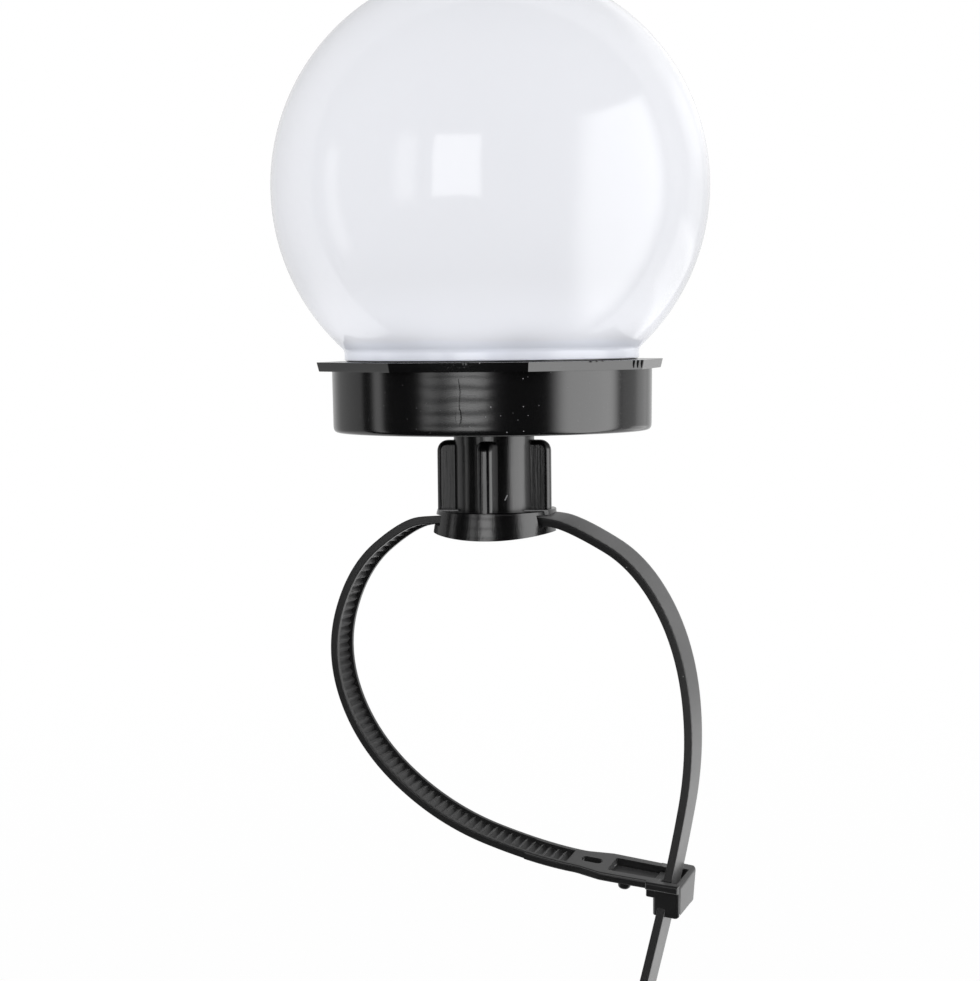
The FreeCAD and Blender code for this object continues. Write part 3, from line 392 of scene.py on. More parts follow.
def pull(piece, test, move):
    """Extrudes the faces that pass the test."""
    edit(piece, "FACE", test)
    bpy.ops.mesh.extrude_region_move(TRANSFORM_OT_translate={"value": move})


def inset(piece, test, width):
    edit(piece, "FACE", test)
    bpy.ops.mesh.inset(thickness=width, use_even_offset=True)


def sink(piece, side, height, width, depth):
    """Insets the round face at a height, then moves what is left of it up or down."""
    def disc(face):
        return round_face(face, side, height)
    inset(piece, disc, width)
    pull(piece, disc, (0, 0, depth))


def shift(piece, test, move):
    edit(piece, "VERT", test)
    bpy.ops.transform.translate(value=move)


def stretch(piece, test, factors, centre=(0.0, 0.0, 0.0)):
    edit(piece, "VERT", test)
    bpy.ops.transform.resize(value=factors, center_override=centre)


def merge(piece, distance=BIT):
    edit(piece, "VERT", everything)
    bpy.ops.mesh.remove_doubles(threshold=distance)


def point_outwards(piece):
    edit(piece, "FACE", everything)
    bpy.ops.mesh.normals_make_consistent(inside=False)


def apply(piece, kind, **settings):
    """Adds one modifier to the piece and applies it."""
    pick_up(piece)
    modifier = piece.modifiers.new(kind.capitalize(), kind)
    for key, value in settings.items():
        setattr(modifier, key, value)
    bpy.ops.object.modifier_apply(modifier=modifier.name)


def throw_away(piece):
    bpy.data.objects.remove(piece, do_unlink=True)


def cut(piece, *cutters):
    for cutter in cutters:
        apply(piece, "BOOLEAN", operation="DIFFERENCE", solver="EXACT", object=cutter)
        throw_away(cutter)


def weld(piece, *others):
    for other in others:
        apply(piece, "BOOLEAN", operation="UNION", solver="EXACT", object=other)
        throw_away(other)


def keep_common(piece, other):
    apply(piece, "BOOLEAN", operation="INTERSECT", solver="EXACT", object=other)
    throw_away(other)


def join(piece, *others):
    pick_up(piece)
    for other in others:
        other.select_set(True)
    bpy.ops.object.join()


def turned_copy(piece, angle):
    """A copy with its own mesh, turned about the lamp's axis."""
    pick_up(piece)
    bpy.ops.object.duplicate()
    copy = bpy.context.object
    copy.rotation_euler.z = angle
    bpy.ops.object.transform_apply(location=True, rotation=True, scale=True)
    return copy


def place(piece, rotation, location=(0.0, 0.0, 0.0)):
    """Turns and moves a piece, and keeps its object at the origin."""
    pick_up(piece)
    piece.rotation_euler = rotation
    piece.location = location
    bpy.ops.object.transform_apply(location=True, rotation=True, scale=True)


def smooth(piece, angle=32.0):
    pick_up(piece)
    bpy.ops.object.shade_smooth_by_angle(angle=radians(angle))
    apply(piece, "WEIGHTED_NORMAL", keep_sharp=True)


def finish(piece, material, slot, body, *nodes):
    """Gives a finished piece its material and its body, and hides the solids that it stands for."""
    piece.data.materials.clear()
    piece.data.materials.append(material)
    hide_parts(*nodes)
    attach(piece, body)


def ring_block(name, inner, outer, low, high, vertices=128):
    """A round wall with square edges."""
    ring = rod(name, outer, low, high, vertices=vertices)
    cut(ring, rod("bore", inner, low - PAST, high + PAST, vertices=vertices))
    return ring


def spot(radius, degrees):
    return radius * cos(radians(degrees)), radius * sin(radians(degrees))


def add_object(name, data):
    made = bpy.data.objects.new(name, data)
    bpy.context.scene.collection.objects.link(made)
    return made


class Maker:
    """Runs an operator's make() with the lamp's settings."""

    def execute(self, context):
        self.make(context.scene.lamp_settings)
        return {"FINISHED"}


# ------------------------------------------------------------------ materials by nodes


class Wire:
    """An output of a node; sums and products of it become Math nodes."""

    def __init__(self, sheet, socket):
        self.sheet = sheet
        self.socket = socket

    def out(self, name):
        return Wire(self.sheet, self.socket.node.outputs[name])

    def math(self, operation, first, second=0.0):
        return self.sheet.node("ShaderNodeMath", {"operation": operation}, {0: first, 1: second})

    def __add__(self, other):
        return self.math("ADD", self, other)

    def __radd__(self, other):
        return self.math("ADD", other, self)

    def __sub__(self, other):
        return self.math("SUBTRACT", self, other)

    def __rsub__(self, other):
        return self.math("SUBTRACT", other, self)

    def __mul__(self, other):
        return self.math("MULTIPLY", self, other)

    def __rmul__(self, other):
        return self.math("MULTIPLY", other, self)

    def over(self, level):
        return self.math("GREATER_THAN", self, level)

    def under(self, level):
        return self.math("LESS_THAN", self, level)

    def top(self, other):
        return self.math("MAXIMUM", self, other)

    def size(self):
        return self.math("ABSOLUTE", self)

    def wave(self):
        return self.math("SINE", self)


class Sheet:
    """A node tree to write a material, a lamp or the world on."""

    def __init__(self, owner):
        owner.use_nodes = True
        self.tree = owner.node_tree
        self.tree.nodes.clear()

    def node(self, kind, settings=None, sockets=None):
        node = self.tree.nodes.new(kind)
        for key, value in (settings or {}).items():
            setattr(node, key, value)
        for key, value in (sockets or {}).items():
            self.feed(node, key, value)
        if not node.outputs:
            return None
        return Wire(self, next(socket for socket in node.outputs if socket.enabled))

    def feed(self, node, key, value):
        socket = node.inputs[key] if isinstance(key, int) else None
        if socket is None:
            socket = next(socket for socket in node.inputs if socket.name == key and socket.enabled)
        if isinstance(value, Wire):
            self.tree.links.new(value.socket, socket)
        else:
            socket.default_value = value

    def coordinates(self):
        return self.node("ShaderNodeTexCoord").out("Object")

    def mapped(self, vector, **settings):
        sockets = {"Vector": vector}
        sockets.update({key.capitalize(): value for key, value in settings.items()})
        return self.node("ShaderNodeMapping", None, sockets)

    def noise(self, vector, scale, detail=2.0, roughness=0.5):
        return self.node("ShaderNodeTexNoise", None, {"Vector": vector, "Scale": scale, "Detail": detail,
                                                      "Roughness": roughness})

    def between(self, value, low, high, to_low=0.0, to_high=1.0):
        """The value's way from low to high, drawn smoothly from to_low to to_high."""
        return self.node("ShaderNodeMapRange", {"interpolation_type": "SMOOTHSTEP"},
                         {"Value": value, "From Min": low, "From Max": high,
                          "To Min": to_low, "To Max": to_high})

    def blend(self, factor, first, second):
        """A colour between two colours."""
        first, second = [value if isinstance(value, Wire) else (*value, 1.0)[:4] for value in (first, second)]
        return self.node("ShaderNodeMix", {"data_type": "RGBA"}, {"Factor": factor, "A": first, "B": second})

    def axes(self, vector):
        split = self.node("ShaderNodeSeparateXYZ", None, {"Vector": vector})
        return split, split.out("Y"), split.out("Z")

    def specks(self, vector, scale, radius, share_kept):
        """Small round specks, on a share of a scattered grid's cells."""
        cells = self.node("ShaderNodeTexVoronoi", {"feature": "F1"}, {"Vector": vector, "Scale": scale})
        chance = self.node("ShaderNodeSeparateColor", None, {"Color": cells.out("Color")})
        return self.between(cells, radius * 0.6, radius, 1.0, 0.0) * chance.under(share_kept)

    def bump(self, height, depth, strength=1.0):
        return self.node("ShaderNodeBump", None, {"Height": height, "Distance": depth, "Strength": strength})


def surface(name, write, **constants):
    """A new material: write() gives what varies from spot to spot, and the constants hold everywhere."""
    material = bpy.data.materials.new(name)
    sheet = Sheet(material)
    sockets = {key.replace("_", " ").title().replace("Ior", "IOR"): value for key, value in constants.items()}
    sockets.update(write(sheet, sheet.coordinates()))
    shader = sheet.node("ShaderNodeBsdfPrincipled", None, sockets)
    sheet.node("ShaderNodeOutputMaterial", None, {"Surface": shader})
    return material


def milky_plastic(colours):
    """Blown, milky and glossy and a little uneven; its neck band is painted darker and bluer (painted shade
    of the black turret behind the wall), and its neck and lowest part get a painted glow through emission.
    """
    def write(sheet, spot_at):
        cloud = sheet.noise(spot_at, 28.0, 2.0)
        fine = sheet.noise(spot_at, 420.0, 2.0)
        pit = sheet.specks(spot_at, 60.0, 0.035, 0.02)
        shade = sheet.blend(cloud, colours.milk, [value * 1.02 for value in colours.milk])
        across, forward, up = sheet.axes(spot_at)
        # Painted shade: the neck band just above the plate is painted darker and bluer, standing for the
        # black turret seen through the wall.
        low = sheet.between(up + cloud * 0.003, 0.0455, 0.0470, 1.0, 0.0)
        shade = sheet.blend(low * 0.5, shade, (0.76, 0.80, 0.90))
        height = cloud * 0.7 + fine * 0.01
        # Painted glow: emission brightens the neck and the ball's lowest part, standing in for light that the
        # milky wall would carry down.
        painted_glow = low * 0.35 + sheet.between(up, 0.046, 0.060, 0.6, 0.0)
        painted_glow_colour = sheet.blend(painted_glow, (0.0, 0.0, 0.0), (0.15, 0.155, 0.175))
        return {"Base Color": sheet.blend(pit * 0.8, shade, (0.05, 0.05, 0.05)),
                "Emission Color": painted_glow_colour,
                "Roughness": 0.05 + cloud * 0.03 + fine * 0.02,
                "Normal": sheet.bump(height, 0.0012, 0.5)}
    return surface("milky_plastic", write, ior=1.46, specular_ior_level=0.6, subsurface_weight=0.3,
                   subsurface_radius=(1.0, 1.0, 1.0), subsurface_scale=0.003, emission_strength=1.0)


def gloss_black(colours):
    """Moulded gloss black: flow ripples round the gate, hair scratches, dust and lint."""
    def write(sheet, spot_at):
        across, forward, up = sheet.axes(spot_at)
        cloud = sheet.noise(spot_at, 120.0, 3.0)
        grain = sheet.noise(spot_at, 2600.0, 3.0)
        hair = sheet.noise(sheet.mapped(spot_at, scale=(260.0, 260.0, 3400.0)), 1.0, 3.0)
        cluster = sheet.between((across - 0.009).size(), 0.004, 0.009, 1.0, 0.12) * forward.under(0.0)
        dust = sheet.specks(spot_at, 900.0, 0.15, 0.34) * cluster
        leaning = sheet.mapped(spot_at, rotation=(0.4, 0.7, 0.2), scale=(1.0, 1.0, 0.22))
        lint = sheet.specks(leaning, 380.0, 0.12, 0.04)
        flaw = dust.top(lint)
        near_gate = sheet.between(across.size(), 0.002, 0.0135, 1.0, 0.0) * forward.under(-0.02)
        on_wall = sheet.between(up, 0.0252, 0.0268) * sheet.between(up, 0.0368, 0.0380, 1.0, 0.0)
        ripple = (up * 2280.0 + cloud * 3.0).wave() * near_gate * on_wall
        height = ripple * 0.7 + hair * 0.06 + cloud * 0.35 + flaw * 0.8
        return {"Base Color": sheet.blend(flaw, colours.housing, colours.dust),
                "Roughness": 0.12 + grain * 0.05 + sheet.between(hair, 0.55, 0.75) * 0.05 + near_gate * 0.12
                + flaw * 0.4,
                "Normal": sheet.bump(height, 0.00003, 1.0)}
    return surface("gloss_black", write, ior=1.5, specular_ior_level=1.0)


def hub_black(colours):
    """Moulded black with drag marks along its height."""
    def write(sheet, spot_at):
        drag = sheet.noise(sheet.mapped(spot_at, scale=(2200.0, 2200.0, 90.0)), 1.0, 3.0)
        cloud = sheet.noise(spot_at, 260.0, 3.0)
        grain = sheet.noise(spot_at, 3200.0, 3.0)
        leaning = sheet.mapped(spot_at, rotation=(0.3, 0.5, 0.1), scale=(1.0, 1.0, 0.4))
        flaw = sheet.specks(leaning, 520.0, 0.11, 0.035)
        across, forward, up = sheet.axes(spot_at)
        on_collar = up.under(0.0058) * sheet.between(across.size(), 0.002, 0.009, 1.0, 0.0)
        ring = (up * 2900.0 + cloud * 2.0).wave() * on_collar
        right, rise = across - 0.0046, up - 0.0095
        scratch = (right - rise * 0.45).size().under(0.00011) * rise.size().under(0.0006) * forward.under(0.0)
        height = drag * 0.7 + cloud * 0.6 + grain * 0.05 + flaw * 0.8 + ring * 0.7
        flaw = flaw.top(scratch)
        return {"Base Color": sheet.blend(flaw, colours.hub, colours.dust),
                "Roughness": 0.13 + cloud * 0.06 + drag * 0.1 + flaw * 0.3,
                "Normal": sheet.bump(height, 0.00003, 1.0)}
    return surface("hub_black", write, ior=1.5, specular_ior_level=0.9)


def black_nylon(colours):
    """Satin black nylon, slightly grained, and rubbed a little paler along its way."""
    def write(sheet, spot_at):
        grain = sheet.noise(spot_at, 2400.0, 4.0, 0.6)
        cloud = sheet.noise(spot_at, 180.0, 3.0)
        flaw = sheet.specks(spot_at, 620.0, 0.1, 0.03)
        shade = sheet.blend(cloud, colours.nylon, [value * 1.5 for value in colours.nylon])
        return {"Base Color": sheet.blend(flaw * 0.6, shade, colours.dust),
                "Roughness": 0.28 + cloud * 0.08 + grain * 0.06,
                "Normal": sheet.bump(grain * 0.05 + cloud * 0.4, 0.00001, 1.0)}
    return surface("black_nylon", write, ior=1.5, specular_ior_level=0.75, sheen_weight=0.4,
                   sheen_roughness=0.4)


def mottled(name, shade, roughness, grain_size=0.0005, depth=0.00001, **constants):
    """A plain material with a fine grain and a slight change of shade."""
    def write(sheet, spot_at):
        grain = sheet.noise(spot_at, 1.0 / grain_size, 3.0)
        cloud = sheet.noise(spot_at, 90.0, 2.0)
        paler = [min(1.0, value * 1.25 + 0.004) for value in shade]
        return {"Base Color": sheet.blend(cloud, shade, paler),
                "Roughness": roughness - 0.05 + cloud * 0.06 + grain * 0.04,
                "Normal": sheet.bump(grain, depth, 1.0)}
    return surface(name, write, **constants)


def board_green():
    """Green solder mask with the faint lines of its copper tracks."""
    def write(sheet, spot_at):
        track = sheet.node("ShaderNodeTexBrick", {"offset": 0.5}, {"Vector": spot_at, "Scale": 260.0,
                           "Color1": (1, 1, 1, 1), "Color2": (1, 1, 1, 1), "Mortar": (0, 0, 0, 1),
                           "Mortar Size": 0.06, "Brick Width": 1.6, "Row Height": 0.5})
        grain = sheet.noise(spot_at, 1500.0, 3.0)
        return {"Base Color": sheet.blend(track, (0.012, 0.11, 0.035), (0.006, 0.06, 0.02)),
                "Roughness": 0.32 + grain * 0.08,
                "Normal": sheet.bump(track.size() * 0.5 + grain * 0.2, 0.00003, 1.0)}
    return surface("board_green", write)


def solar_blue():
    """Silicon cells: dark blue grains under pale collecting lines."""
    def write(sheet, spot_at):
        flakes = sheet.node("ShaderNodeTexVoronoi", {"feature": "F1"}, {"Vector": spot_at, "Scale": 260.0})
        tone = sheet.node("ShaderNodeSeparateColor", None, {"Color": flakes.out("Color")})
        across, forward, up = sheet.axes(spot_at)
        line = ((across * 3100.0).wave()).over(0.93)
        shade = sheet.blend(tone, (0.004, 0.010, 0.045), (0.012, 0.030, 0.12))
        return {"Base Color": sheet.blend(line, shade, (0.45, 0.46, 0.48)), "Roughness": 0.25 + tone * 0.1}
    return surface("solar_blue", write)


def inner_finishes():
    """The finish of each carried-over solid, by node."""
    steel = mottled("steel", (0.52, 0.52, 0.54), 0.28, metallic=1.0)
    nickel = mottled("nickel", (0.62, 0.60, 0.56), 0.24, metallic=1.0)
    rubber = mottled("seal_rubber", (0.022, 0.022, 0.023), 0.62, 0.0003, 0.00002)
    tray = mottled("tray_black", (0.014, 0.014, 0.015), 0.42, 0.0004, 0.00002)
    resin = mottled("lamp_resin", (0.80, 0.82, 0.86), 0.08, coat_weight=0.5)
    return {
        "globe_seal": rubber,
        "case_seal": rubber,
        "solar_backing": mottled("panel_backing", (0.60, 0.61, 0.58), 0.45, 0.0006, 0.00002),
        "solar_cells": solar_blue(),
        "solar_cover": mottled("panel_resin", (0.75, 0.78, 0.82), 0.06, transmission_weight=1.0, ior=1.5),
        "leds": resin,
        "control_board": board_green(),
        "board_screws": steel,
        "case_screws": steel,
        "driver_chip": mottled("chip_black", (0.016, 0.016, 0.017), 0.38, 0.0002, 0.00001),
        "boost_inductor": mottled("coil_dark", (0.05, 0.048, 0.046), 0.55, 0.0003, 0.00002),
        "slide_switch": mottled("switch_metal", (0.45, 0.46, 0.47), 0.32, metallic=1.0),
        "switch_slider": mottled("switch_knob", (0.018, 0.018, 0.019), 0.40, 0.0003, 0.00002),
        "battery_tray": tray,
        "battery_cell": mottled("cell_wrap", (0.05, 0.20, 0.10), 0.28, coat_weight=0.3),
        "contact_plate": nickel,
        "contact_spring": nickel,
        "red_leads": mottled("lead_red", (0.38, 0.012, 0.012), 0.38, 0.0004, 0.00001),
        "black_leads": mottled("lead_black", (0.014, 0.014, 0.014), 0.40, 0.0004, 0.00001),
    }


# ------------------------------------------------------------------ ball


class LAMP_OT_ball(Maker, Operator):
    """Blown milky ball with its neck and locking lugs"""

    bl_idname = "lamp.ball"
    bl_label = "Milky ball"

    def make(self, settings):
        sizes = settings.ball
        radius = sizes.diameter / 2
        neck = sizes.neck / 2
        middle = BALL_HIGH.z - radius
        join_z = middle - sqrt(radius ** 2 - neck ** 2)
        put_down()
        bpy.ops.mesh.primitive_uv_sphere_add(segments=160, ring_count=96, radius=radius,
                                             location=(0, 0, middle))
        ball = begin("milky_ball")
        edit(ball, "FACE", everything)
        bpy.ops.mesh.bisect(plane_co=(0, 0, join_z), plane_no=(0, 0, 1), clear_inner=True)
        merge(ball, 0.0001)
        edit(ball, "EDGE", lambda edge: max(vert.co.z for vert in edge.verts) < join_z + BIT)
        bpy.ops.mesh.extrude_edges_move(TRANSFORM_OT_translate={"value": (0, 0, BALL_LOW.z - join_z)})
        round_edges(ball, lambda edge: at_height(edge, join_z), sizes.neck_round, 6)
        merge(ball, 0.0001)
        apply(ball, "SOLIDIFY", thickness=sizes.wall, offset=-1.0, use_even_offset=True)

        def rim(edge):
            across = middle_of(edge).xy.length
            off = min(abs(across - neck), abs(across - neck + sizes.wall))
            return off < 0.0003 and at_height(edge, BALL_LOW.z)
        round_edges(ball, rim, 0.0003, 2)
        join(ball, *self.lugs(sizes, neck - sizes.wall))
        smooth(ball, 40.0)
        finish(ball, milky_plastic(settings.colours), "milky_ball", "ball", "globe")

    def lugs(self, sizes, bore):
        low = BALL_LOW.z + sizes.lug_rise
        half = bore * tan(sizes.lug_arc / 2)
        lug = block("lug", (bore - sizes.lug_depth, -half, low),
                    (bore + 0.0006, half, low + sizes.lug_height))
        round_edges(lug, everything, 0.00025, 2)
        lugs = [turned_copy(lug, radians(angle)) for angle in LUG_ANGLES]
        throw_away(lug)
        return lugs


# ------------------------------------------------------------------ octagonal plate


class LAMP_OT_plate(Maker, Operator):
    """Octagonal black plate with the turret that locks the ball"""

    bl_idname = "lamp.plate"
    bl_label = "Octagonal plate"

    def make(self, settings):
        sizes = settings.plate
        top = sizes.base + sizes.thickness
        put_down()
        bpy.ops.mesh.primitive_cylinder_add(vertices=8, radius=sizes.flats / 2 / cos(pi / 8),
                                            depth=sizes.thickness, rotation=(0, 0, pi / 8),
                                            location=(0, 0, sizes.base + sizes.thickness / 2))
        plate = begin("octagon_plate")
        narrow = 1 - 2 * sizes.draft / sizes.flats
        stretch(plate, lambda vert: vert.co.z < sizes.base + BIT, (narrow, narrow, 1))
        round_edges(plate, everything, sizes.edge, 2)
        cut(plate, *self.edge_nicks(sizes, top))
        turret = ring_block("turret", sizes.turret - sizes.turret_wall, sizes.turret,
                            top - 0.0004, PLATE_HIGH.z)
        skirt = ring_block("skirt", sizes.skirt - sizes.skirt_wall, sizes.skirt,
                           sizes.base - sizes.skirt_height, sizes.base + 0.0004)
        weld(plate, turret, skirt, *self.bosses(settings.housing, sizes))
        cut(plate, *self.gates(settings.ball, sizes))
        half = (PANEL_HIGH.x - PANEL_LOW.x) / 2 + 0.0002
        cut(plate, block("pocket", (-half, -half, top - sizes.pocket), (half, half, top + PAST)))
        for side in (-1, 1):
            cut(plate, rod("lamp_hole", LAMP_HOLE, sizes.base - PAST, top + PAST, side * 0.008, 0.0223))
        smooth(plate)
        finish(plate, bpy.data.materials["gloss_black"], "black_housing", "lamp", "top_plate")

    def bosses(self, housing, sizes):
        bosses = []
        for angle in SCREW_ANGLES:
            x, y = spot(housing.screw_circle, angle)
            boss = rod("boss", BOSS, 0.03, sizes.base + 0.0003, x, y)
            cut(boss, rod("thread", THREAD, 0.0295, 0.0366, x, y, 24))
            bosses.append(boss)
        return bosses

    def gates(self, ball, sizes):
        """Where each lug drops in past the turret's top."""
        low = BALL_LOW.z + ball.lug_rise - 0.0003
        bore = ball.neck / 2 - ball.wall
        inner = bore - ball.lug_depth - 0.0003
        half = bore * tan(ball.lug_arc / 2) + 0.0003
        gates = []
        for angle in LUG_ANGLES:
            gate = block("gate", (inner, -half, low), (bore + PAST, half, PLATE_HIGH.z + PAST))
            run = block("run", (inner, -half, low), (bore + PAST, half, low + ball.lug_height + 0.0006))
            place(gate, (0, 0, radians(angle + LUG_TURN)))
            place(run, (0, 0, radians(angle)))
            gates += [gate, run]
        return gates

    def edge_nicks(self, sizes, top):
        """The chips and the three moulding notches along the plate's upper edge."""
        nicks = []
        front = -sizes.flats / 2
        for face_turn, share_out, sides, along, wide, deep in EDGE_CHIPS:
            nick = rod("nick", wide / 2, top - deep, top + 0.0008, along, front - wide * share_out, sides)
            place(nick, (0, 0, radians(face_turn)))
            nicks.append(nick)
        for along in NOTCH_PLACES:
            notch = block("notch", (along - 0.0003, front - 0.0006, top - 0.0017),
                          (along + 0.0003, front + 0.0006, top + 0.0006))
            place(notch, (0, 0, radians(45.0)))
            nicks.append(notch)
        return nicks


# ------------------------------------------------------------------ round housing


class LAMP_OT_housing(Maker, Operator):
    """Round black housing with its spigot, screw holes and switch recess"""

    bl_idname = "lamp.housing"
    bl_label = "Round housing"

    def make(self, settings):
        sizes = settings.housing
        base = sizes.base
        top = DRUM_HIGH.z
        drum = rod("round_housing", sizes.bottom / 2, base, top, vertices=192, top_radius=sizes.top / 2)
        edit(drum, "EDGE", lambda edge: at_height(edge, base))
        bpy.ops.mesh.bevel(offset=sizes.edge * 2, segments=10, profile=0.72, affect="EDGES")
        self.hollow(drum, sizes, top)
        self.spigot(drum, sizes, base)
        weld(drum, *self.towers(sizes, base + sizes.floor))
        cut(drum, *self.holes(sizes, base))
        join(drum, self.gate_scar(sizes))
        smooth(drum)
        finish(drum, bpy.data.materials["gloss_black"], "black_housing", "lamp", "drum")

    def hollow(self, drum, sizes, top):
        step = top - sizes.rebate_depth
        sink(drum, 1, top, sizes.top / 2 - sizes.bore - sizes.rebate, -sizes.rebate_depth)
        sink(drum, 1, step, sizes.rebate, sizes.base + sizes.floor - step)

    def spigot(self, drum, sizes, base):
        sink(drum, -1, base, sizes.bottom / 2 - sizes.edge * 2 - sizes.spigot, DRUM_LOW.z - base)
        sink(drum, -1, DRUM_LOW.z, sizes.spigot_wall, base - DRUM_LOW.z)

    def towers(self, sizes, floor):
        towers = []
        for angle in SCREW_ANGLES:
            x, y = spot(sizes.screw_circle, angle)
            towers.append(rod("tower", TOWER, floor - 0.0005, floor + 0.0038, x, y))
        for side in (-1, 1):
            towers.append(rod("post", POST, floor - 0.0005, floor + 0.005, side * 0.0126, 0.026, 32))
        return towers

    def holes(self, sizes, base):
        cutters = []
        for angle in SCREW_ANGLES:
            x, y = spot(sizes.screw_circle, angle)
            cutters.append(rod("screw_hole", SCREW_HOLE, base - PAST, base + 0.007, x, y, 32))
            cutters.append(rod("counterbore", sizes.counterbore, base - PAST,
                               base + sizes.counterbore_depth, x, y))
        y = sizes.switch_y
        recess = block("recess", (-0.005, y - 0.0025, base - PAST), (0.005, y + 0.0025, base + 0.001))
        round_edges(recess, upright, 0.0006, 4)
        knob_slot = block("knob_slot", (-0.0024, y - 0.0014, base - PAST),
                          (0.0024, y + 0.0014, base + 0.003))
        return [*cutters, recess, knob_slot]

    def gate_scar(self, sizes):
        """The torn-off sprue: thin above, a flat blob below, in the middle of the front."""
        x = -0.0001
        low = sizes.base + 0.0028
        front = -sizes.bottom / 2
        scar = block("gate_scar", (x - 0.0003, front - 0.0005, low),
                     (x + 0.0003, front + 0.0004, low + SCAR_TALL))
        for height, wider in SCAR_OUTLINE[1:-1]:
            slice_at(scar, (0, 0, low + height), (0, 0, 1))
        for height, wider in SCAR_OUTLINE:
            stretch(scar, lambda vert: abs(vert.co.z - low - height) < BIT, (wider, 1, 1), (x, front, 0))
        stretch(scar, lambda vert: vert.co.y < front, (0.55, 1, 1), (x, front, 0))
        return scar


# ------------------------------------------------------------------ strap hub


class LAMP_OT_hub(Maker, Operator):
    """Strap hub: ribbed tube on a bowed collar with a slot for the strap"""

    bl_idname = "lamp.hub"
    bl_label = "Strap hub"

    def make(self, settings):
        sizes = settings.hub
        hub = self.collar(sizes)
        weld(hub, self.tube(sizes), *self.ribs(sizes), self.lips(sizes))
        cut(hub, self.slot(sizes))
        place(hub, (0, 0, sizes.twist), (sizes.lean, 0, 0))
        cut(hub, rod("socket", sizes.socket, 0.0077, HUB_HIGH.z + PAST, vertices=128))
        smooth(hub, 30.0)
        finish(hub, hub_black(settings.colours), "black_hub", "strap_mount", "strap_hub")

    def collar(self, sizes):
        taper = (sizes.collar_foot - sizes.collar_top) / (sizes.collar_height - sizes.bow)
        foot = sizes.collar_foot + taper * sizes.bow
        collar = rod("strap_hub_body", foot, 0.0, sizes.collar_height, vertices=160,
                     top_radius=sizes.collar_top)
        bow_radius = (sizes.collar_foot ** 2 + sizes.bow ** 2) / (2 * sizes.bow)
        put_down()
        bpy.ops.mesh.primitive_cylinder_add(vertices=720, radius=bow_radius, depth=0.06,
                                            location=(0, 0, bow_radius), rotation=(pi / 2, 0, 0))
        keep_common(collar, begin("bow"))
        round_edges(collar, lambda edge: at_height(edge, sizes.collar_height), 0.0003, 3)
        return collar

    def tube(self, sizes):
        tube = rod("tube", sizes.tube, sizes.collar_height - 0.0005, HUB_HIGH.z, vertices=128)
        low = HUB_HIGH.z - sizes.bead_height
        slice_at(tube, (0, 0, low - 0.0004), (0, 0, 1))
        slice_at(tube, (0, 0, low), (0, 0, 1))
        wider = sizes.bead / sizes.tube
        stretch(tube, lambda vert: vert.co.z > low - BIT, (wider, wider, 1))
        round_edges(tube, lambda edge: at_height(edge, HUB_HIGH.z), 0.00025, 3)
        return tube

    def ribs(self, sizes):
        half = sizes.rib_width / 2
        low = sizes.collar_height - 0.0003
        rib = block("rib", (0.007, -half, low), (sizes.rib_reach, half, sizes.rib_top))
        stretch(rib, lambda vert: vert.co.x < 0.008, (1, 1.62, 1))
        round_edges(rib, lambda edge: middle_of(edge).x > sizes.rib_reach - BIT
                    and middle_of(edge).z > sizes.rib_top - BIT, sizes.rib_round, 8)
        round_edges(rib, lambda edge: abs(middle_of(edge).y) > half - BIT and middle_of(edge).x > 0.0071
                    and middle_of(edge).z > low + BIT, half * 0.8, 6)
        ribs = [turned_copy(rib, pi / 2 * quarter) for quarter in range(4)]
        throw_away(rib)
        return ribs

    def lips(self, sizes):
        low = sizes.slot_low + sizes.slot_height
        lips = block("lips", (-0.0129, -0.005, low - 0.0003), (0.0143, 0.006, low + sizes.lip))
        keep_common(lips, rod("round", 0.0138, low - PAST, low + 0.002, x=0.0005, vertices=128,
                              top_radius=0.0136))
        round_edges(lips, lambda edge: middle_of(edge).z > low + sizes.lip - BIT, 0.0004, 3)
        return lips

    def slot(self, sizes):
        half = sizes.slot_width / 2
        low = sizes.slot_low
        return block("slot", (-0.03, -half, low), (0.03, half, low + sizes.slot_height))


# ------------------------------------------------------------------ cable tie


def strap_line():
    """The strap's way as one smooth curve in its own flat plane."""
    curve = bpy.data.curves.new("strap_line", "CURVE")
    curve.dimensions = "3D"
    curve.twist_mode = "Z_UP"
    curve.resolution_u = 48
    spline = curve.splines.new("NURBS")
    spline.points.add(len(STRAP_ROUTE) - 1)
    for point, (right, up, twist) in zip(spline.points, STRAP_ROUTE):
        point.co = (right, up, 0.0, 1.0)
        point.tilt = radians(twist)
    spline.order_u = 3
    spline.use_endpoint_u = True
    return add_object("strap_line", curve), spline.calc_length()


def bend_and_place(piece, line, tie):
    """Bends a straight piece along the strap's line and stands it up in the lamp."""
    apply(piece, "CURVE", object=line, deform_axis="POS_X")
    place(piece, (pi / 2, 0, tie.twist), (0, 0, tie.height))


def plain_strap(name, start, end, count, tie):
    """Plain strap with open ends, along X: Y is its thickness and Z its width."""
    step = (end - start) / count
    half = tie.width / 2
    thick = tie.thickness / 2
    inner = half - tie.rail
    piece = block(name, (start, -thick, -half), (start + step, thick, half))
    for side in (-1, 1):
        slice_at(piece, (0, 0, side * inner), (0, 0, 1))
    edit(piece, "FACE", lambda face: abs(face.normal.x) > 0.9)
    bpy.ops.mesh.delete(type="FACE")
    round_edges(piece, lambda edge: abs(run_of(edge).x) > 0.9 and abs(middle_of(edge).z) > half - BIT,
                tie.edge, 3)
    return piece, step


def repeat(piece, count, step):
    apply(piece, "ARRAY", count=count, use_relative_offset=False, use_constant_offset=True,
          constant_offset_displace=(step, 0, 0), use_merge_vertices=True, merge_threshold=BIT)


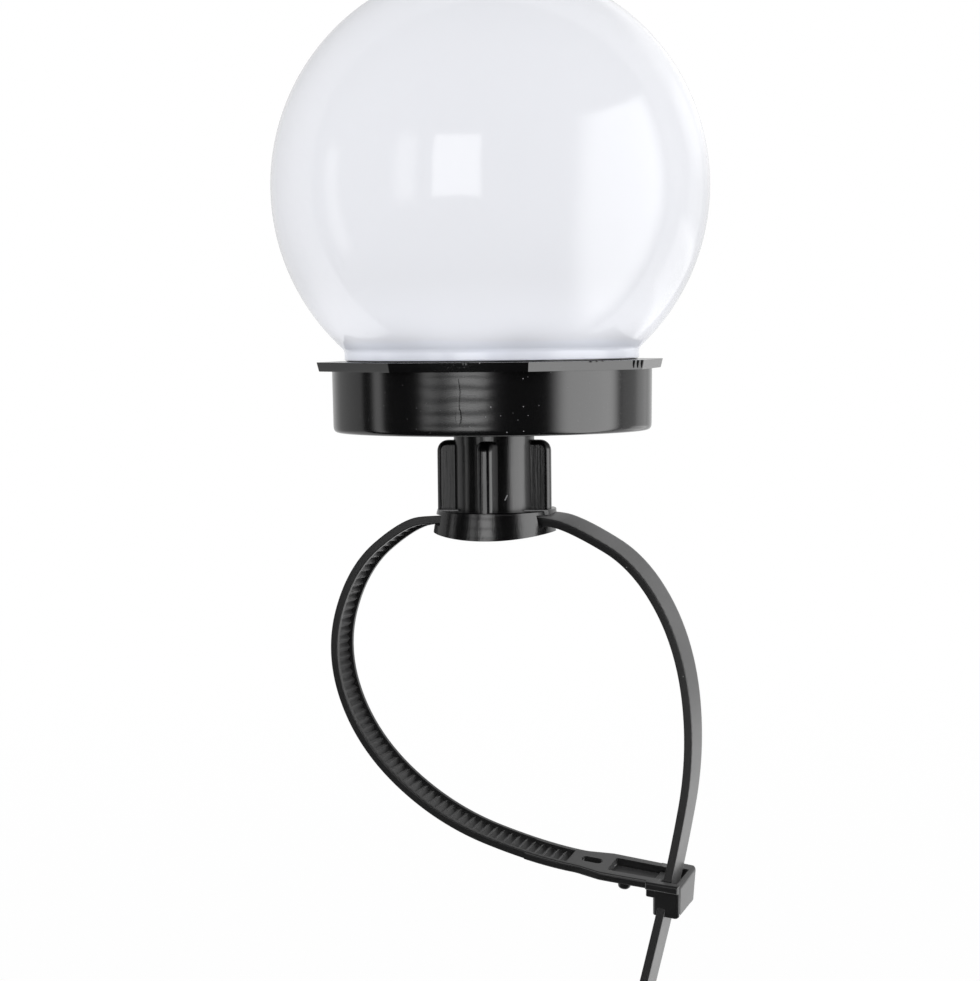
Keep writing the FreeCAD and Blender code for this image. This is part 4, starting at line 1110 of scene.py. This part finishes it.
def toothed_strap(start, count, tie):
    """The stretch with teeth: between the rails a steep face, a floor and a ramp for each tooth."""
    piece, step = plain_strap("teeth", start, start + tie.tooth, 1, tie)
    crest = -tie.thickness / 2
    inner = tie.width / 2 - tie.rail
    for part in (0.42, 0.54):
        slice_at(piece, (start + part * step, 0, 0), (1, 0, 0))
    pull(piece, lambda face: face.normal.y < -0.9 and abs(face.calc_center_median().z) < inner,
         (0, tie.recess + tie.tooth_depth, 0))
    floor = crest + tie.recess + tie.tooth_depth
    shift(piece, lambda vert: abs(vert.co.y - floor) < BIT and abs(vert.co.z) < inner + BIT
          and (vert.co.x < start + BIT or vert.co.x > start + step - BIT), (0, -tie.tooth_depth, 0))

    def open_end(face):
        places = [vert.co.x for vert in face.verts]
        return abs(face.normal.x) > 0.9 and max(min(places) - start - step, start - max(places)) > -BIT
    edit(piece, "FACE", open_end)
    bpy.ops.mesh.delete(type="FACE")
    merge(piece)
    repeat(piece, count, step)
    return piece


class LAMP_OT_cable_tie(Maker, Operator):
    """Cable tie: toothed strap bent into its loop, its head and its release lever"""

    bl_idname = "lamp.cable_tie"
    bl_label = "Cable tie"

    def make(self, settings):
        tie = settings.tie
        line, whole = strap_line()
        nylon = black_nylon(settings.colours)
        strap = self.strap(tie, whole)
        head = self.head(tie)
        for piece in (strap, head):
            bend_and_place(piece, line, tie)
            smooth(piece, 35.0)
            finish(piece, nylon, "tie_nylon", "strap_mount", "cable_tie")
        lever = self.lever(tie)
        bend_and_place(lever, line, tie)
        smooth(lever, 35.0)
        finish(lever, nylon, "tie_nylon", "pawl", "release_pawl")
        throw_away(line)

    def strap(self, tie, whole):
        root = tie.head
        first = root + tie.plain
        count = int((whole - tie.tip - first) / tie.tooth)
        last = first + count * tie.tooth
        strap, step = plain_strap("strap", root, first, ROOT_STEPS, tie)
        repeat(strap, ROOT_STEPS, step)
        tip, tip_step = plain_strap("tip", last, whole, TIP_STEPS, tie)
        repeat(tip, TIP_STEPS, tip_step)
        join(strap, toothed_strap(first, count, tie), tip)
        merge(strap)
        edit(strap, "EDGE", lambda edge: edge.is_boundary)
        bpy.ops.mesh.fill_holes(sides=0)
        point_outwards(strap)
        self.shape_root(strap, tie, root)
        self.shape_tip(strap, tie, last, whole)
        self.side_bead(strap, root, first + tie.bead_run)
        cut(strap, *self.root_cuts(tie, root))
        return strap

    def shape_root(self, strap, tie, root):
        """The strap widens beside the lever's window."""
        taper = root + tie.window + 0.0012
        for number in range(ROOT_STEPS + 1):
            at = root + tie.plain * number / ROOT_STEPS
            part = min(1.0, max(0.0, (at - taper) / 0.006))
            wider = 1 + (tie.neck_width / tie.width - 1) * (1 - part)
            stretch(strap, lambda vert: abs(vert.co.x - at) < BIT, (1, 1, wider))

    def shape_tip(self, strap, tie, last, whole):
        for number in range(TIP_STEPS + 1):
            at = last + (whole - last) * number / TIP_STEPS
            narrower = 1 + (tie.tip_width / tie.width - 1) * number / TIP_STEPS
            stretch(strap, lambda vert: abs(vert.co.x - at) < BIT, (1, 1, narrower))

    def side_bead(self, strap, start, end):
        """A raised bead along the strap's near side, from the head on."""
        def side(face):
            return face.normal.z > 0.85 and start - BIT < face.calc_center_median().x < end
        inset(strap, side, 0.0003)
        pull(strap, side, (0, 0, 0.0003))

    def root_cuts(self, tie, root):
        wide = tie.window_width / 2
        window = block("window", (root - PAST, -0.01, -wide), (root + tie.window, 0.01, wide))
        round_edges(window, lambda edge: through_strap(edge) and middle_of(edge).x > root, 0.0006, 3)
        oval = block("oval", (root + 0.0138, -0.01, -0.0012), (root + 0.0188, 0.01, 0.0012))
        round_edges(oval, through_strap, 0.00108, 6)
        return [window, oval]

    def head(self, tie):
        """A block round the slot, with a step before it and a pocket for the lever's jaw."""
        thick = tie.thickness / 2
        near = tie.head_near
        foot = thick + tie.head_depth
        head = block("tie_head", (0, -thick, -tie.head_far), (tie.head, foot, near))
        stretch(head, lambda vert: vert.co.y > foot - BIT, (1, 1, tie.head_taper))
        round_edges(head, lambda edge: through_strap(edge) or middle_of(edge).x < BIT, tie.head_edge, 6)
        step = block("step", (tie.head - 0.001, -thick, -0.0054),
                     (tie.head + 0.0015, thick + 0.0021, near - 0.0004))
        round_edges(step, lambda edge: middle_of(edge).x > tie.head, 0.0004, 3)
        rail = block("rail", (0.0003, -thick, near - 0.0007), (tie.head + 0.0015, thick, near + 0.0005))
        round_edges(rail, lambda edge: middle_of(edge).z > near, 0.00049, 5)
        weld(head, step, rail)
        slot = block("slot", (-0.0021, -0.012, -0.0043), (0.0017, 0.02, 0.0043))
        place(slot, (0, 0, radians(8.0)), (0.0031, 0.0, 0.0))
        pocket = block("pocket", (0.0031, -0.01, -tie.window_width / 2),
                       (tie.head + 0.01, thick + 0.0054, tie.window_width / 2))
        cut(head, slot, pocket)
        return head

    def lever(self, tie):
        """The release lever: a flat tongue over the window, its finger nub and its jaw."""
        root = tie.head
        low = 0.0006
        wide = tie.lever_width / 2
        edge = root + tie.window
        end = edge - 0.0001
        lever = block("release_lever", (root - 0.0012, low, -wide), (end, low + tie.lever, wide))
        round_edges(lever, lambda edge: through_strap(edge) and middle_of(edge).x > root, 0.0005, 3)
        nub = block("nub", (edge - 0.0046, low + 0.0003, -0.00145), (edge - 0.0017, 0.0045, 0.00145))
        round_edges(nub, through_strap, 0.0013, 6)
        round_edges(nub, lambda edge: middle_of(edge).y > 0.0044, 0.0008, 3)
        jaw = block("jaw", (root - 0.0014, 0.0001, -wide), (root + 0.0008, 0.0043, wide))
        round_edges(jaw, upright, 0.0004, 3)
        weld(lever, nub, jaw)
        return lever


# ------------------------------------------------------------------ what is inside


class LAMP_OT_inner_parts(Maker, Operator):
    """Finishes of the solids that are carried over: panel, board, battery, switch, screws and seals"""

    bl_idname = "lamp.inner_parts"
    bl_label = "Inner parts"

    def make(self, settings):
        for node, material in inner_finishes().items():
            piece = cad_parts[node]
            piece.data.materials.clear()
            piece.data.materials.append(material)


# ------------------------------------------------------------------ studio


def towards(azimuth, elevation):
    """A direction from the lamp, in degrees: 0 is where the camera stands, and positive is to its right."""
    angle = radians(VIEW_TURN + azimuth)
    rise = radians(elevation)
    return Vector((sin(angle) * cos(rise), -cos(angle) * cos(rise), sin(rise)))


class LAMP_OT_studio(Maker, Operator):
    """Pale floor, soft light and the camera"""

    bl_idname = "lamp.studio"
    bl_label = "Studio"

    def make(self, settings):
        studio = settings.studio
        self.floor(studio)
        self.world(studio)
        self.camera(studio)
        for azimuth, radiance in FILL_LAMPS:
            self.fill(azimuth, radiance)
        bpy.context.scene.view_settings.view_transform = "Standard"

    def floor(self, studio):
        put_down()
        bpy.ops.mesh.primitive_plane_add(size=14.0, location=(0, 0, studio.floor))
        floor = begin("pale_floor")
        material = bpy.data.materials.new("pale_floor")
        sheet = Sheet(material)
        spot_at = sheet.coordinates()
        far = sheet.node("ShaderNodeVectorMath", {"operation": "LENGTH"}, {0: spot_at}).out("Value")
        seen = self.seen_directly(sheet)
        plain = sheet.node("ShaderNodeBsdfDiffuse", None, {"Color": (0.86, 0.86, 0.87, 1.0)})
        white = sheet.node("ShaderNodeEmission", None, {"Color": (1, 1, 1, 1), "Strength": 1.0})
        factor = seen * sheet.between(far, 0.2, 1.0, 0.94, 1.0)
        mix = sheet.node("ShaderNodeMixShader", None, {0: factor, 1: plain, 2: white})
        sheet.node("ShaderNodeOutputMaterial", None, {"Surface": mix})
        floor.data.materials.append(material)
        floor.visible_glossy = False
        floor.visible_diffuse = False

    def seen_directly(self, sheet):
        path = sheet.node("ShaderNodeLightPath")
        return path.out("Is Camera Ray").top(path.out("Is Glossy Ray")).top(path.out("Is Transmission Ray"))

    def facing(self, sheet, way, azimuth, elevation=0.0):
        """How nearly a direction points this way: 1 is straight at it."""
        sockets = {0: way, 1: tuple(towards(azimuth, elevation))}
        return sheet.node("ShaderNodeVectorMath", {"operation": "DOT_PRODUCT"}, sockets).out("Value")

    def panel(self, sheet, way, left, right, low, high, soft):
        """A lit rectangle on the walls round the lamp, by the angles of its four edges."""
        up = sheet.axes(way)[2]
        floor = sin(radians(low))
        ceiling = sin(radians(high))
        return (sheet.between(self.facing(sheet, way, left + 90.0), -soft, soft)
                * sheet.between(self.facing(sheet, way, right - 90.0), -soft, soft)
                * sheet.between(up, floor - soft, floor + soft)
                * sheet.between(up, ceiling - soft, ceiling + soft, 1.0, 0.0))

    def room(self, sheet, way):
        """What gloss sees: a dark room with its lights before the lamp, and white behind it."""
        behind = self.facing(sheet, way, 180.0)
        right = self.facing(sheet, way, 90.0)
        up = sheet.axes(way)[2]
        white = (sheet.between(right, -0.6, 0.6, 0.36, 0.5)
                 + sheet.between(behind, 0.75, 1.0, 0.0, 0.3) * sheet.between(up, 0.15, 0.4, 1.0, 0.3))
        softbox = (sheet.between(self.facing(sheet, way, 99.7, -2.0), 0.49, 0.72)
                   * sheet.between(up, 0.48, 0.54, 1.0, 0.0) * sheet.between(behind, 0.04, 0.30, 1.0, 0.0))
        table = sheet.between(up, -0.45, -0.2, 0.4, 0.0)
        level = 0.02 + (white + table) * sheet.between(behind, 0.255, 0.295) + softbox * 2.55
        for left, right_edge, low, high, soft, brightness in LIT_PANELS:
            level = level + self.panel(sheet, way, left, right_edge, low, high, soft) * brightness
        return level

    def world(self, studio):
        """White to the camera; dull surfaces get an even light, and gloss sees the room."""
        world = bpy.data.worlds.new("studio")
        bpy.context.scene.world = world
        sheet = Sheet(world)
        path = sheet.node("ShaderNodeLightPath")
        way = sheet.node("ShaderNodeTexCoord").out("Generated")
        glossy = path.out("Is Glossy Ray")
        direct = path.out("Is Camera Ray").top(path.out("Is Transmission Ray"))
        level = self.room(sheet, way) * glossy + studio.ambient * (1.0 - glossy)
        level = level * (1.0 - direct) + direct
        background = sheet.node("ShaderNodeBackground", None, {"Color": (1, 1, 1, 1), "Strength": level})
        sheet.node("ShaderNodeOutputWorld", None, {"Surface": background})

    def fill(self, azimuth, radiance):
        """A flat lamp that faces the lamp's middle. It lights what is dull, and isn't seen in gloss."""
        light = bpy.data.lights.new("fill", "AREA")
        light.shape = "SQUARE"
        light.size = FILL_SIZE
        light.energy = radiance * pi * FILL_SIZE ** 2
        fill = add_object("fill", light)
        way = towards(azimuth, FILL_RISE)
        fill.location = Vector((0, 0, 0.04)) + way * FILL_DISTANCE
        fill.rotation_euler = way.to_track_quat("Z", "Y").to_euler()
        fill.visible_camera = False
        fill.visible_glossy = False

    def camera(self, studio):
        data = bpy.data.cameras.new("camera")
        data.lens = studio.lens
        data.sensor_width = 36.0
        data.clip_start = 0.01
        camera = add_object("camera", data)
        position = Vector((sin(studio.azimuth) * studio.distance, -cos(studio.azimuth) * studio.distance,
                           studio.camera_height))
        heading = Matrix.Rotation(studio.azimuth + studio.aim, 4, "Z")
        tip = Matrix.Rotation(pi / 2 - studio.pitch, 4, "X")
        roll = Matrix.Rotation(studio.roll, 4, "Z")
        camera.matrix_world = Matrix.Translation(position) @ heading @ tip @ roll
        bpy.context.scene.camera = camera


# ------------------------------------------------------------------ panel and start


PIECES = (LAMP_OT_ball, LAMP_OT_plate, LAMP_OT_housing, LAMP_OT_hub, LAMP_OT_cable_tie, LAMP_OT_inner_parts,
          LAMP_OT_studio)


class LAMP_PT_sidebar(Panel):
    """The lamp's pieces, in the order in which they are made"""

    bl_idname = "LAMP_PT_sidebar"
    bl_label = "Garden globe light"
    bl_space_type = "VIEW_3D"
    bl_region_type = "UI"
    bl_category = "Globe Light"

    def draw(self, context):
        for piece in PIECES:
            self.layout.operator(piece.bl_idname)


CLASSES = (BallSizes, PlateSizes, HousingSizes, HubSizes, TieSizes, FinishColours, StudioSizes, LampSettings,
           *PIECES, LAMP_PT_sidebar)


def register():
    for made in CLASSES:
        bpy.utils.register_class(made)
    bpy.types.Scene.lamp_settings = PointerProperty(type=LampSettings)


def unregister():
    del bpy.types.Scene.lamp_settings
    for made in reversed(CLASSES):
        bpy.utils.unregister_class(made)


def main():
    register()
    gloss_black(bpy.context.scene.lamp_settings.colours)
    bpy.ops.lamp.ball()
    bpy.ops.lamp.plate()
    bpy.ops.lamp.housing()
    bpy.ops.lamp.hub()
    bpy.ops.lamp.cable_tie()
    bpy.ops.lamp.inner_parts()
    bpy.ops.lamp.studio()


if __name__ == "__main__":
    main()
